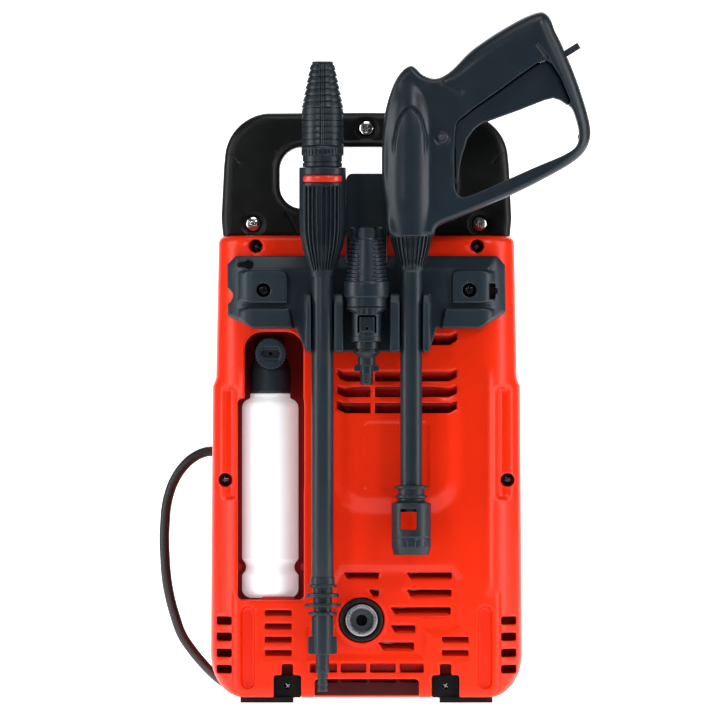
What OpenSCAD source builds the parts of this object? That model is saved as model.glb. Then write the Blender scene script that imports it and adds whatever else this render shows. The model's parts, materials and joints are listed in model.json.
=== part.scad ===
/* [Body] */
// Width of the body at its base
body_w = 232; // [230:1:236]
// Height of the body's top edge above the floor
body_top = 347; // [346:1:350]
// Distance from the body's middle plane back to the flat rear face
rear_face = 85; // [84:1:86]
// Distance from the body's middle plane to the front face
front_face = 85; // [84:1:90]
// Thickness of the moulded walls
wall = 3; // [2.5:0.1:3.2]

/* [Accessories] */
// Distance from the rear face to the axis of the hanging gun and lance
hang_gap = 26; // [25.5:0.1:27]
// Radius of the gun and lance tubes
tube_r = 8.1; // [7.8:0.05:8.1]
// Free space between a clip wall and the tube it holds
clip_play = 0.4; // [0.3:0.05:0.5]

/* [Pump and motor] */
// Teeth of the motor pinion
pinion_teeth = 12; // [12:1:12]
// Teeth of the pump gear
gear_teeth = 40; // [40:1:40]
// Gear module
gear_module = 1.5; // [1.5:0.1:1.5]
// Stroke of each pump piston
stroke = 6; // [4:0.5:6]

/* [Cord] */
// Diameter of the mains cord
cord_d = 7.5; // [7:0.1:7.5]
// Turns side by side in the stored coil, and layers on top of each other
coil_rows = 4; // [4:1:4]

/* [Hidden] */
$fn = 64;
eps = 0.01;

// Colours
shell_colour = "#F4401C";
soft_red = "#E8301A";
trim_colour = "#2B353B";
black = "#17191B";
steel = "#B9BDC0";
brass = "#C9A24B";
copper = "#B87333";

// The row's origin is the middle of the object's footprint, which the gun widens
origin_x = 25;
origin_y = -13;
module placed() translate([-origin_x, -origin_y, 0]) children();

// Body shells
foot_h = 4;
parting = 20;
corner_x = 24;
corner_z = 32;
chamfer = 20;
front_round = 34;
step_low = 235;
step_high = 241;
shoulder_w = body_w - 3;
neck_w = body_w - 8;
top_w = body_w - 12;
top_r = 6;
body_half = body_w / 2;

// Heights and places of the vents, as [x0, x1, z0, z1]
upper_slots = [for (z = [215, 227.2, 239.2]) each [[-22, 3, z, z + 9.3], [6.2, 66.7, z, z + 9.3]]];
lower_slots = [
    [-17.4, 9.2, 91.5, 96.6], [29.5, 63.4, 91.5, 96.6], [1.1, 9.2, 78.4, 84],
    [29.5, 63, 78.4, 84], [17.7, 62.5, 65.2, 70.7], [17.7, 36.1, 52, 57.5],
    [8.2, 35.2, 38.8, 44.8]
];
small_slots = concat(
    [for (k = [0:3]) [-75.4, -55.4, 34.8 + 9.9 * k, 39.2 + 9.9 * k]],
    [for (k = [0:1]) [55.9, 75.7, 34.8 + 9.9 * k, 39.2 + 9.9 * k]]);
bottom_row = [[-41.8, -21.8], [-19.2, -0.1], [2.6, 21.8], [24.6, 42.6]];
side_vents_z = [22, 34, 46, 58];
side_vent_h = 6;

// Hollow in each flank
waist_z0 = 152;
waist_z1 = 234;

// Bottle recess
bottle_x = -71.6;
bottle_y = -60;
bottle_r = 20.8;
recess_x0 = -95.6;
recess_x1 = -46.5;
recess_z0 = 76.6;
recess_z1 = 275.3;
recess_floor = 37;

// Feet, handle tongues and side louvres
foot_x = 74;
foot_y0 = -66;
foot_y1 = 62;
tongue_x = 86;
tongue_w = 12.2;
louvre_step = 11;

// Screws of the covers, as [x, z]
cover_screw_at = [[-82, 339], [82, 339], [-104.8, 165.5], [104.8, 165.5], [-58.5, 12.2], [58.9, 12.2]];

// Handle
handle_half = 108;
handle_top = 438.5;
handle_r = 35;
handle_y0 = -66;
handle_y1 = -26;
handle_mid = -46;
grip_half = 64.6;
grip_z0 = 367.3;
grip_z1 = 413.2;
grip_r = 17;
handle_screw_at = [[-84.2, 355.8], [84.2, 355.8], [0, 427]];

// Accessory axes
axis_y = -rear_face - hang_gap;
lance_x = -32.5;
gun_x = 33.1;
bracket_back = 8;
bracket_top = 331.9;
bracket_low = 278;
bracket_mid = 260.5;
bracket_screw_at = [[-76.3, 306.4], [76.3, 306.4]];

// Pump and motor
pump_x = -3.6;
pump_y = -6;
gear_distance = gear_module * (pinion_teeth + gear_teeth) / 2;
motor_dx = 24;
motor_x = pump_x + motor_dx;
motor_y = pump_y + sqrt(gear_distance * gear_distance - motor_dx * motor_dx);
gear_line = atan2(motor_y - pump_y, motor_dx);
pressure_angle = 25;
outlet_z = 61.5;
inlet_z = 50;
head_z0 = 36;
head_z1 = 72;
head_r = 34;
piston_circle = 18;
piston_r = 6;
piston_top = 90;
plate_low = piston_top + 0.4;
plate_r = 29;
tilt = asin(stroke / 2 / piston_circle);
plate_mid = plate_low + plate_r * tan(tilt);
gear_z0 = 107;
gear_z1 = 115;
motor_z0 = 126;
motor_r = 41;
brush_z0 = 200;
brush_z1 = 207;
knob_z = 284;
shaft_clear = 0.05;

// Gun
gun_half = 15;
trigger_pivot = [55.8, 419.2];
trigger_half = 9.5;
hose_at = [139.5, 497.5];
hose_tilt = 62;

// Functions
function arc(c, rx, ry, a0, a1, n) =
    [for (i = [0:n]) let (a = a0 + (a1 - a0) * i / n) [c[0] + rx * cos(a), c[1] + ry * sin(a)]];
function reversed(p) = [for (i = [len(p) - 1:-1:0]) p[i]];
function mirrored(p) = [for (q = reversed(p)) [-q[0], q[1]]];
function spline_at(a, b, c, d, t) =
    (2 * b + (c - a) * t + (2 * a - 5 * b + 4 * c - d) * t * t + (3 * b - a - 3 * c + d) * t * t * t) / 2;
function closed_spline(p, steps) = let (n = len(p))
    [for (i = [0:n - 1], k = [0:steps - 1])
        spline_at(p[(i + n - 1) % n], p[i], p[(i + 1) % n], p[(i + 2) % n], k / steps)];
function open_spline(p, steps) = let (n = len(p))
    concat([for (i = [0:n - 2], k = [0:steps - 1])
        spline_at(p[max(i - 1, 0)], p[i], p[i + 1], p[min(i + 2, n - 1)], k / steps)], [p[n - 1]]);
function shrunk(p, d) = let (n = len(p))
    [for (i = [0:n - 1]) let (t = p[(i + 1) % n] - p[(i + n - 1) % n])
        p[i] + d * [-t[1], t[0]] / norm(t)];
function involute(rb, a) = rb * [cos(a) + a * PI / 180 * sin(a), sin(a) - a * PI / 180 * cos(a)];
function turned(p, a) = [p[0] * cos(a) - p[1] * sin(a), p[0] * sin(a) + p[1] * cos(a)];

// Plain solids between two planes
module prism_y(y0, y1) translate([0, y1, 0]) rotate([90, 0, 0]) linear_extrude(y1 - y0) children();
module rod_y(x, z, r, y0, y1) translate([x, y1, z]) rotate([90, 0, 0]) cylinder(r = r, h = y1 - y0);
module rod_z(x, y, r, z0, z1) translate([x, y, z0]) cylinder(r = r, h = z1 - z0);
module rod_x(y, z, r, x0, x1) translate([x0, y, z]) rotate([0, 90, 0]) cylinder(r = r, h = x1 - x0);
module block(x0, x1, y0, y1, z0, z1) translate([x0, y0, z0]) cube([x1 - x0, y1 - y0, z1 - z0]);
module rounded(x0, x1, y0, y1, r) {
    translate([x0 + r, y0]) square([x1 - x0 - 2 * r, y1 - y0]);
    translate([x0, y0 + r]) square([x1 - x0, y1 - y0 - 2 * r]);
    for (x = [x0 + r, x1 - r], y = [y0 + r, y1 - r]) translate([x, y]) circle(r);
}

// A tube swept along a list of points
module sweep(points, r, sides) {
    n = len(points);
    frames = [for (i = [0:n - 1]) let (
        t = points[min(i + 1, n - 1)] - points[max(i - 1, 0)], u = t / norm(t),
        s0 = abs(u[2]) > 0.9 ? cross(u, [1, 0, 0]) : cross(u, [0, 0, 1]), s = s0 / norm(s0))
        [s, cross(s, u)]];
    rings = [for (i = [0:n - 1], k = [0:sides - 1]) let (a = 360 * k / sides)
        points[i] + r * cos(a) * frames[i][0] + r * sin(a) * frames[i][1]];
    sides_faces = [for (i = [0:n - 2], k = [0:sides - 1]) let (a = i * sides + k,
        b = i * sides + (k + 1) % sides) each [[a, b, b + sides], [a, b + sides, a + sides]]];
    polyhedron(rings, concat([[for (k = [sides - 1:-1:0]) k]], sides_faces,
        [[for (k = [0:sides - 1]) (n - 1) * sides + k]]));
}
function helix(x, y, r, z0, z1, turns, steps) =
    [for (i = [0:turns * steps]) [x + r * cos(360 * i / steps), y + r * sin(360 * i / steps),
        z0 + (z1 - z0) * i / (turns * steps)]];

module gear_2d(teeth, backlash) {
    rp = gear_module * teeth / 2;
    rb = rp * cos(pressure_angle);
    ra = rp + gear_module;
    rf = rp - 1.25 * gear_module;
    at_pitch = tan(pressure_angle) * 180 / PI - pressure_angle;
    half = 90 / teeth + at_pitch - backlash / 2 / rp * 180 / PI;
    a_tip = sqrt(ra * ra / rb / rb - 1) * 180 / PI;
    a_root = rf > rb ? sqrt(rf * rf / rb / rb - 1) * 180 / PI : 0;
    flank = [for (k = [0:5]) involute(rb, a_root + (a_tip - a_root) * k / 5)];
    foot = rf > rb ? [] : [[rf, 0]];
    side = [for (p = concat(foot, flank)) turned(p, -half)];
    tooth = concat(side, [for (p = reversed(side)) [p[0], -p[1]]]);
    polygon([for (i = [0:teeth - 1], p = tooth) turned(p, 360 * i / teeth)]);
}

// The body's outline from behind, and its two plan outlines
function right_side(i) = concat(
    arc([body_half - corner_x, foot_h + corner_z], corner_x - i, corner_z - i, -90, 0, 8),
    [[shoulder_w / 2 - i, step_low], [neck_w / 2 - i, step_high]],
    arc([top_w / 2 - top_r, body_top - top_r], top_r - i, top_r - i, 0, 90, 5));
module body_outline(i) polygon(concat(right_side(i), mirrored(right_side(i))));
function rear_plan(i, y_end) = let (
    edge = body_half - chamfer + rear_face - i * sqrt(2), out = body_half + 5,
    p = [[out, y_end], [out, out - edge], [edge - rear_face + i, i - rear_face]])
    concat(p, mirrored(p));
function front_plan(i, y_end) = let (
    p = concat([[body_half + 5, y_end], [body_half - i, front_face - front_round]],
        arc([body_half - front_round, front_face - front_round],
            front_round - i, front_round - i, 10, 90, 8)))
    concat(p, mirrored(p));
module rear_block(i, y_end) intersection() {
    prism_y(-rear_face - 1, y_end) body_outline(i);
    linear_extrude(body_top + 5) polygon(rear_plan(i, y_end));
}
module front_block(i, y_start) intersection() {
    prism_y(y_start, front_face + 1) body_outline(i);
    linear_extrude(body_top + 5) polygon(front_plan(i, y_start));
}

// The pulled-in stretch of both flanks, made larger by grow for the inside of the wall
module pair(s, x0, x1, y0, y1, z0, z1) block(s > 0 ? x0 : -x1, s > 0 ? x1 : -x0, y0, y1, z0, z1);
module waist(grow) {
    for (s = [-1, 1]) translate([0, 0, waist_z0 - grow]) linear_extrude(waist_z1 - waist_z0 + 2 * grow)
        polygon([[s * (96 - grow), -rear_face - 1], [s * (97 - grow), -rear_face + 7 + grow],
            [s * 112, -62 + grow], [s * (body_half + 4), -60 + grow],
            [s * (body_half + 4), -rear_face - 1]]);
}
module slot(s, lean) prism_y(-rear_face - 8, -rear_face + wall + 4)
    polygon([[s[0] + lean, s[2]], [s[1], s[2]], [s[1] + min(lean, 0), s[3]], [s[0], s[3]]]);
module recess_outline(g) {
    rounded(recess_x0 - g, recess_x1 + g, recess_z0 - g, 225.7 + g, 3 + g);
    rounded(-90 - g, -47 + g, 120, recess_z1 + g, 11 + g);
}
module foot_pocket(s, g) {
    x = s * 58.7;
    block(x - 10.2 - g, x + 10.2 + g, -rear_face - 1, -62 + g, -1, 20.7 + g);
    block(x - 4.1 - g, x + 4.1 + g, -rear_face - 1, -62 + g, 20, 28.9 + g);
}

module rear_cover() color(shell_colour) placed() difference() {
    union() {
        difference() {
            union() {
                rear_block(0, -parting);
                hull() {
                    prism_y(-rear_face - 4, -rear_face + 1) rounded(-16, 61, 152, 208, 8);
                    prism_y(-rear_face, -rear_face + 1) rounded(-24, 76, 136, 216, 12);
                }
            }
            waist(0);
            difference() {
                rear_block(wall, -parting + 1);
                waist(wall);
                prism_y(-rear_face, -recess_floor + wall) recess_outline(wall);
                for (s = [-1, 1]) foot_pocket(s, wall);
                block(-42, 42, -rear_face, -68, 0, 20.8);
                for (p = cover_screw_at) rod_y(p[0], p[1], 7, -rear_face, -parting);
            }
        }
        for (x = [recess_x0 - 1, recess_x1 - 2.4]) block(x, x + 3.4, -60, -54, 96, 104);
    }
    difference() {
        prism_y(-rear_face - 1, -recess_floor) recess_outline(0);
        for (s = [-1, 1]) block(bottle_x + s * 24 - 5.2, bottle_x + s * 24 + 5.2, -66, -54, 98, 103);
    }
    for (s = upper_slots) slot(s, 4);
    slot([-21, 66.7, 266, 274.4], 3);
    for (s = lower_slots) slot(s, 3);
    for (s = small_slots) slot(s, 0);
    for (s = bottom_row) slot([s[0], s[1], 22.9, 30], 0);
    for (s = [-1, 1], z = side_vents_z) pair(s, 100, 111, -90, -55, z, z + side_vent_h);
    for (s = [-1, 1]) prism_y(-rear_face - 1, -rear_face + 2)
        rounded(s * 88 - 5.2, s * 88 + 5.2, 10.4, 71.8, 5);
    for (s = [-1, 1]) foot_pocket(s, 0);
    block(-38.5, 38.9, -rear_face - 1, -71, 0, 17.8);
    rod_y(pump_x, outlet_z, 16.6, -rear_face - 1, -rear_face + wall + 1);
    for (s = [-1, 1]) block(s * 98.4 - 0.6, s * 98.4 + 0.6, -rear_face - 1, -80.5, 12, 80);
    for (p = cover_screw_at) {
        rod_y(p[0], p[1], 5, -rear_face - 1, -61);
        rod_y(p[0], p[1], 2, -62, -parting + 1);
    }
    prism_y(-rear_face - 5, -rear_face - 3) rounded(-2, 46, 158, 206, 3);
    for (s = [-1, 1]) pair(s, tongue_x - tongue_w, tongue_x + tongue_w, handle_mid - tongue_w,
        handle_mid + tongue_w, 340, body_top + 1);
    for (x = [-foot_x, foot_x]) rod_z(x, foot_y0, 4, 0, 10);
    rod_y(0, 306.4, 2, -rear_face - 1, -rear_face + 5);
}

// Front half of the body: the side a person stands at
cord_y = 38;
cord_z = 186;
pocket_x = -93;
module front_cover() color(shell_colour) placed() difference() {
    union() {
        difference() {
            front_block(0, -parting);
            difference() {
                front_block(wall, -parting - 1);
                block(-body_w, pocket_x + wall, cord_y - 19, cord_y + 19, cord_z - 19, cord_z + 19);
                for (x = [-foot_x, foot_x]) block(x - 9, x + 9, 55, 80, 0, 12);
            }
        }
        for (p = cover_screw_at) if (p[1] > 100) rod_y(p[0], p[1], 4.6, -parting, 6);
        for (s = [-1, 1]) {
            block(s * 82 - 2, s * 82 + 2, -parting, 6, 339, body_top - 1);
            pair(s, 104, 114, -parting, 6, 163, 168);
        }
        for (s = [-1, 1]) block(s * 58.7 - 6, s * 58.7 + 6, -parting, 0, foot_h, 18);
        rod_x(cord_y, cord_z, 8, pocket_x, pocket_x + 8);
    }
    block(-body_w, pocket_x, cord_y - 16, cord_y + 16, cord_z - 16, cord_z + 16);
    rod_x(cord_y, cord_z, 5.6, pocket_x - 1, pocket_x + 9);
    for (p = cover_screw_at) rod_y(p[0], p[1], 1.6, -parting - 1, p[1] > 100 ? 4 : -2);
    prism_y(front_face - wall - 1, front_face + 1) rounded(-56, 56, 78, 316, 16);
    prism_y(front_face - 1, front_face + 1) rounded(-62.3, 62.3, 71.7, 322.3, 20.3);
    rod_y(pump_x, inlet_z, 14.2, front_face - wall - 1, front_face + 1);
    for (s = [-1, 1], k = [0:6]) pair(s, 100, 120, -8, 44, 60 + louvre_step * k, 65 + louvre_step * k);
    for (s = [-1, 1], k = [0:5]) pair(s, 100, 120, -8, 44, 252 + louvre_step * k, 257 + louvre_step * k);
    for (x = [-foot_x, foot_x]) rod_z(x, foot_y1, 4, 0, 10);
}

module front_panel() color(trim_colour) placed() difference() {
    union() {
        prism_y(front_face - 1, front_face + 3) rounded(-62, 62, 72, 322, 20);
        prism_y(front_face - wall - 3, front_face) difference() {
            rounded(-55.7, 55.7, 78.3, 315.7, 15.7);
            rounded(-52.7, 52.7, 81.3, 312.7, 12.7);
        }
    }
    rod_y(0, knob_z, 7, front_face - 5, front_face + 5);
    prism_y(front_face + 2, front_face + 4) difference() {
        circle_at(0, knob_z, 27);
        circle_at(0, knob_z, 26);
    }
    for (k = [0:8]) prism_y(front_face - 6, front_face + 5)
        rounded(-38, 38, 100 + 14 * k, 106 + 14 * k, 2.9);
}
module circle_at(x, y, r) translate([x, y]) circle(r);

// Base and feet
tray_half = 50;
module base_tray() color(black) placed() {
    difference() {
        union() {
            block(-tray_half, tray_half, -56, 66, foot_h + wall, foot_h + wall + 3);
            block(4.6 - tray_half, tray_half - 4.6, -66, -56, foot_h + wall, foot_h + wall + 3);
            block(pump_x - 24, pump_x + 24, pump_y - 20, pump_y + 20, foot_h + wall, head_z0);
            for (x = [-44, 44]) block(x, x + 3, -50, 50, foot_h + wall, 26);
        }
        block(pump_x - 20, pump_x + 20, pump_y - 25, pump_y + 25, 14, head_z0 - 5);
        for (x = [-30, 24], y = [-40, 40]) rod_z(x, y, 6, 0, 20);
    }
}
module rubber_feet() color(black) placed() {
    for (x = [-foot_x, foot_x], y = [foot_y0, foot_y1]) {
        linear_extrude(foot_h) rounded(x - 19.7, x + 19.7, y - 10, y + 10, 4);
        rod_z(x, y, 4, foot_h - eps, foot_h + wall + 1);
    }
    for (s = [-1, 1]) difference() {
        pair(s, 49, 68.4, -73, -69, foot_h - 0.2, 20.3);
        rod_y(s * 58.7, 12.2, 2.4, -74, -68);
    }
}

// Handle
module handle_outline() polygon(concat(
    [[handle_half - 1.5, body_top + 0.3], [handle_half, 360], [handle_half - 2, 400]],
    arc([handle_half - 2.5 - handle_r, handle_top - handle_r], handle_r, handle_r, 0, 78, 8),
    [[0, handle_top]],
    mirrored(arc([handle_half - 2.5 - handle_r, handle_top - handle_r], handle_r, handle_r, 0, 78, 8)),
    [[-handle_half + 2, 400], [-handle_half, 360], [-handle_half + 1.5, body_top + 0.3]]));
module handle_half_shell(y0, y1, side) difference() {
    union() {
        prism_y(y0, y1) handle_outline();
        prism_y(y0 - (side < 0 ? 1.2 : 0), y1 + (side > 0 ? 1.2 : 0))
            rounded(-grip_half - 3, grip_half + 3, grip_z0 - 3, grip_z1 + 3, grip_r + 3);
        for (s = [-1, 1]) pair(s, tongue_x - tongue_w + 0.2, tongue_x + tongue_w - 0.2,
            max(y0, handle_mid - tongue_w + 0.2), min(y1, handle_mid + tongue_w - 0.2), 326, 350);
    }
    prism_y(y0 - 3, y1 + 3) rounded(-grip_half, grip_half, grip_z0, grip_z1, grip_r);
    for (s = [-1, 1]) prism_y(side < 0 ? y0 + wall : y0 - 1, side < 0 ? y1 + 1 : y1 - wall)
        rounded(s * 86 - 14, s * 86 + 14, 366, 410, 8);
    prism_y(side < 0 ? y0 + wall : y0 - 1, side < 0 ? y1 + 1 : y1 - wall) rounded(-60, -12, 420, 434, 3);
    prism_y(side < 0 ? y0 + wall : y0 - 1, side < 0 ? y1 + 1 : y1 - wall) rounded(12, 60, 420, 434, 3);
    for (s = [-1, 1]) rod_y(s * 82, 339, 7.3, y0 - 1, y1 + 1);
    for (p = handle_screw_at) {
        rod_y(p[0], p[1], 2.2, y0 - 2, handle_mid + 12);
        if (side < 0) rod_y(p[0], p[1], 6.2, y0 - 2, y0 + 4);
    }
}
module handle_rear_shell() color(black) placed() handle_half_shell(handle_y0, handle_mid, -1);
module handle_front_shell() color(black) placed() handle_half_shell(handle_mid, handle_y1, 1);

// Accessory bracket
function strip(d) = [[-104, d + 5.5], [-97.5, d], [97.5, d], [104, d + 5.5], [104, -77], [96, -rear_face],
    [-96, -rear_face], [-104, -77]];
plate_y = -rear_face - bracket_back;
module clip_wall(x0, x1, z0, z1) difference() {
    block(x0, x1, axis_y - 8, plate_y + 1, z0, z1);
    translate([x0 - 1, axis_y - 8, z1]) rotate([45, 0, 0]) cube([x1 - x0 + 2, 8, 8], center = true);
}
module accessory_bracket() color(trim_colour) placed() difference() {
    union() {
        intersection() {
            linear_extrude(400) polygon(strip(plate_y));
            prism_y(-120, -70) union() {
                polygon([[-98, bracket_top], [98, bracket_top], [103, bracket_top - 6], [103, 283],
                    [98, bracket_low], [52, bracket_low], [46.5, bracket_mid], [-44.8, bracket_mid],
                    [-52.5, bracket_low], [-84, bracket_low], [-102.5, 287], [-102.5, bracket_top - 6]]);
            }
        }
        prism_y(plate_y + 1, -rear_face - 1) rounded(-15, 15, 325, 393, 5);
        prism_y(plate_y - 6, plate_y + 1) rounded(-96, -58.4, 297, 321, 4);
        prism_y(plate_y - 6, plate_y + 1) rounded(64.5, 95.8, 297, 321, 4);
        prism_y(plate_y - 4, plate_y + 1)
            polygon([[-84.4, 278], [-54.4, 278], [-58, 292.5], [-84.4, 292.5]]);
        prism_y(plate_y - 4, plate_y + 1)
            polygon([[55.5, 278], [81.5, 278], [81.5, 292.5], [59, 292.5]]);
        clip_wall(-45.2, lance_x - tube_r - clip_play, bracket_mid, 303.5);
        clip_wall(lance_x + tube_r + clip_play, -17.3, bracket_mid, 303.5);
        clip_wall(17.3, gun_x - tube_r - clip_play, bracket_mid, 303.5);
        clip_wall(gun_x + tube_r + clip_play, 47, bracket_mid, 303.5);
    }
    for (p = bracket_screw_at) {
        rod_y(p[0], p[1], 5, plate_y - 7, plate_y - 1);
        rod_y(p[0], p[1], 2.2, plate_y - 8, -rear_face + 1);
    }
    rod_y(-87.1, 325.5 - 1, 3.2, plate_y - 7, plate_y + 4);
    block(-99.7, -87.1, plate_y - 7, plate_y + 4, 323, 326);
    block(91, 95.1, plate_y - 8, plate_y + 4, 299.7, 311.5);
    block(95, 102.5, plate_y - 8, plate_y + 6, 304.1, 307.8);
}

// Fasteners
module screw(x, z, y_head, head_r, shank_r, length) {
    difference() {
        rod_y(x, z, head_r, y_head, y_head + 2.4);
        for (a = [0, 90]) translate([x, y_head, z]) rotate([0, a, 0])
            cube([head_r * 1.1, 2.4, 0.9], center = true);
    }
    rod_y(x, z, shank_r, y_head + 2.4 - eps, y_head + length);
}
module cover_screws() color(steel) placed() for (p = cover_screw_at)
    screw(p[0], p[1], -63.4, 4, 1.6, p[1] > 100 ? 62 : 55);
module handle_screws() color(steel) placed() for (p = handle_screw_at)
    screw(p[0], p[1], handle_y0 + 1.6, 5.6, 2.2, 28);
module bracket_screws() color(steel) placed() for (p = bracket_screw_at)
    screw(p[0], p[1], plate_y - 3.4, 4.2, 2.2, 11.4);

// Motor
module motor_stator() color(steel) placed() difference() {
    union() {
        rod_z(motor_x, motor_y, 37.5, 146, 190);
        for (s = [0, 180]) translate([motor_x, motor_y, 0]) rotate([0, 0, s]) color(copper)
            translate([0, 0, 138]) rotate_extrude(angle = 120) translate([25, 0]) square([9, 58]);
    }
    rod_z(motor_x, motor_y, 23.6, 130, 210);
}
module motor_housing() color(black) placed() translate([motor_x, motor_y, 0]) difference() {
    union() {
        difference() {
            rod_z(0, 0, motor_r, motor_z0, 212);
            rod_z(0, 0, 37.5, motor_z0 + 3, 213);
            for (k = [0:7]) rotate([0, 0, 45 * k + 20]) block(34, 44, -5, 5, 131, 142);
        }
        for (k = [0:2]) rotate([0, 0, 120 * k + 95]) {
            block(37, motor_r - 0.5, -6, 6, 211, 243);
            block(0, motor_r - 0.5, -6, 6, 236, 243);
        }
        rod_z(0, 0, 15, 236, 243);
        for (a = [35, 215]) rotate([0, 0, a]) block(17, 38.5, -5, 5, brush_z0 - 2, brush_z1 + 2);
    }
    rod_z(0, 0, 11, 235, 244);
    rod_z(0, 0, 11, motor_z0 - 1, motor_z0 + 5);
    for (a = [35, 215]) rotate([0, 0, a]) block(16, 39, -3, 3, brush_z0, brush_z1);
}
module motor_rotor() color(steel) placed() {
    rod_z(motor_x, motor_y, 4, 104, 244);
    difference() {
        rod_z(motor_x, motor_y, 22.8, 148, 188);
        for (k = [0:11]) translate([motor_x, motor_y, 0]) rotate([0, 0, 30 * k])
            block(18, 24, -1.2, 1.2, 140, 200);
        rod_z(motor_x, motor_y, 4, 140, 200);
    }
    color(copper) difference() {
        rod_z(motor_x, motor_y, 11, 196, 212);
        rod_z(motor_x, motor_y, 4, 190, 220);
    }
}
module motor_fan() color(trim_colour) placed() translate([motor_x, motor_y, 0]) difference() {
    union() {
        rod_z(0, 0, 9, 216, 232);
        rod_z(0, 0, 35, 216, 218.5);
        for (k = [0:10]) rotate([0, 0, 360 / 11 * k]) translate([0, 0, 218]) rotate([0, 0, 18])
            block(10, 34, -1, 1, 0, 12);
    }
    rod_z(0, 0, 4, 200, 240);
}
module bearing(x, y, z, h, ri, ro) translate([x, y, z]) difference() {
    cylinder(r = ro, h = h);
    translate([0, 0, -1]) cylinder(r = ri + shaft_clear, h = h + 2);
}
module motor_bearings() color(steel) placed() {
    bearing(motor_x, motor_y, motor_z0 - 3, 8, 4, 11);
    bearing(motor_x, motor_y, 236, 7, 4, 11);
    bearing(pump_x, pump_y, 117, 7, 7, 16);
}
module carbon_brushes() color("#303236") placed() translate([motor_x, motor_y, 0]) for (a = [35, 215])
    rotate([0, 0, a]) block(11.3, 26, -3, 3, brush_z0, brush_z1);

// Gearbox and wobble drive
module gearbox_outline(g) {
    circle_at(pump_x, pump_y, 35 + g);
    circle_at(motor_x, motor_y, 16 + g);
}
module gearbox_case() color(steel) placed() difference() {
    union() {
        translate([0, 0, head_z1]) linear_extrude(motor_z0 - head_z1) gearbox_outline(3);
        rod_z(motor_x, motor_y, motor_r, 120, motor_z0);
    }
    translate([0, 0, head_z1 - 1]) linear_extrude(44) circle_at(pump_x, pump_y, 33.5);
    translate([0, 0, 103]) linear_extrude(14) gearbox_outline(-1);
    rod_z(pump_x, pump_y, 16, 116, 124);
    rod_z(motor_x, motor_y, 11, 110, 130);
    rod_z(pump_x, pump_y, 9, 110, 125);
    for (k = [0:2]) translate([pump_x, pump_y, 0]) rotate([0, 0, 120 * k + 60])
        block(30, 42, -12, 12, 84, 100);
}
module drive_pinion() color(brass) placed() translate([motor_x, motor_y, 0]) difference() {
    translate([0, 0, gear_z0 - 2]) linear_extrude(gear_z1 - gear_z0 + 3)
        rotate(gear_line + 180) gear_2d(pinion_teeth, 0.2);
    rod_z(0, 0, 4, 90, 130);
}
module drive_gear() color(trim_colour) placed() translate([pump_x, pump_y, 0]) difference() {
    translate([0, 0, gear_z0]) linear_extrude(gear_z1 - gear_z0)
        rotate(gear_line + 180 / gear_teeth) gear_2d(gear_teeth, 0.2);
    rod_z(0, 0, 7, 90, 130);
}
module wobble_plate() color(steel) placed() translate([pump_x, pump_y, 0]) {
    difference() {
        rod_z(0, 0, plate_r, plate_low, 104);
        translate([0, 0, plate_mid]) rotate([0, -tilt, 0]) translate([-50, -50, -20]) cube([100, 100, 20]);
    }
    rod_z(0, 0, 7, 100, 124);
}

// Pump
module at_piston(k) translate([pump_x, pump_y, 0]) rotate([0, 0, 120 * k + 90])
    translate([piston_circle, 0, 0]) children();
module piston(k) placed() at_piston(k) {
    rod_z(0, 0, piston_r, 60, piston_top);
    rod_z(0, 0, 9.5, piston_top - 4, piston_top);
}
module piston_1() color(steel) piston(0);
module piston_2() color(steel) piston(1);
module piston_3() color(steel) piston(2);
module piston_springs() color(steel) placed() for (k = [0:2])
    translate([pump_x, pump_y, 0]) rotate([0, 0, 120 * k + 90])
        sweep(helix(piston_circle, 0, 7.9, head_z1 + 0.8, piston_top - 4.8, 5, 12), 0.7, 6);
module pump_head() color("#A9ACAE") placed() difference() {
    union() {
        rod_z(pump_x, pump_y, head_r, head_z0, head_z1);
        block(pump_x - 13, pump_x + 13, pump_y - 40, pump_y, head_z0 + 4, head_z1 - 1);
        block(pump_x - 12, pump_x + 12, pump_y, pump_y + 38, inlet_z - 12, inlet_z + 12);
    }
    for (k = [0:2]) translate([pump_x, pump_y, 0]) rotate([0, 0, 120 * k + 90])
        rod_z(piston_circle, 0, piston_r + shaft_clear, 50, head_z1 + 1);
    for (k = [0:3]) translate([pump_x, pump_y, 0]) rotate([0, 0, 90 * k + 45])
        rod_z(head_r - 5, 0, 2.6, head_z0 - 1, head_z1 + 1);
    rod_y(pump_x, outlet_z, 7.5, pump_y - 41, -32);
    rod_y(pump_x, inlet_z, 7, 20.5, pump_y + 39);
}
module outlet_fitting() color(steel) placed() difference() {
    union() {
        rod_y(pump_x, outlet_z, 7.5, -46, -32);
        rod_y(pump_x, outlet_z, 10, -90, -46);
        rod_y(pump_x, outlet_z, 12, -95, -84);
    }
    rod_y(pump_x, outlet_z, 8.1, -96, -80);
    rod_y(pump_x, outlet_z, 4, -81, -30);
}
module outlet_collar() color(black) placed() difference() {
    union() {
        rod_y(pump_x, outlet_z, 16, -91, -80);
        rod_y(pump_x, outlet_z, 19, -81.9, -78);
    }
    rod_y(pump_x, outlet_z, 12, -92, -83);
    rod_y(pump_x, outlet_z, 10, -84, -77);
}
module inlet_fitting() color(brass) placed() difference() {
    union() {
        rod_y(pump_x, inlet_z, 7, 20.5, 34);
        rod_y(pump_x, inlet_z, 10, 32, 84);
        rod_y(pump_x, inlet_z, 12.9, 78, 86);
        rod_y(pump_x, inlet_z, 13.2, 85.5, 102);
    }
    rod_y(pump_x, inlet_z, 4, 16, 80);
    rod_y(pump_x, inlet_z, 9.5, 76, 103);
}
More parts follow.
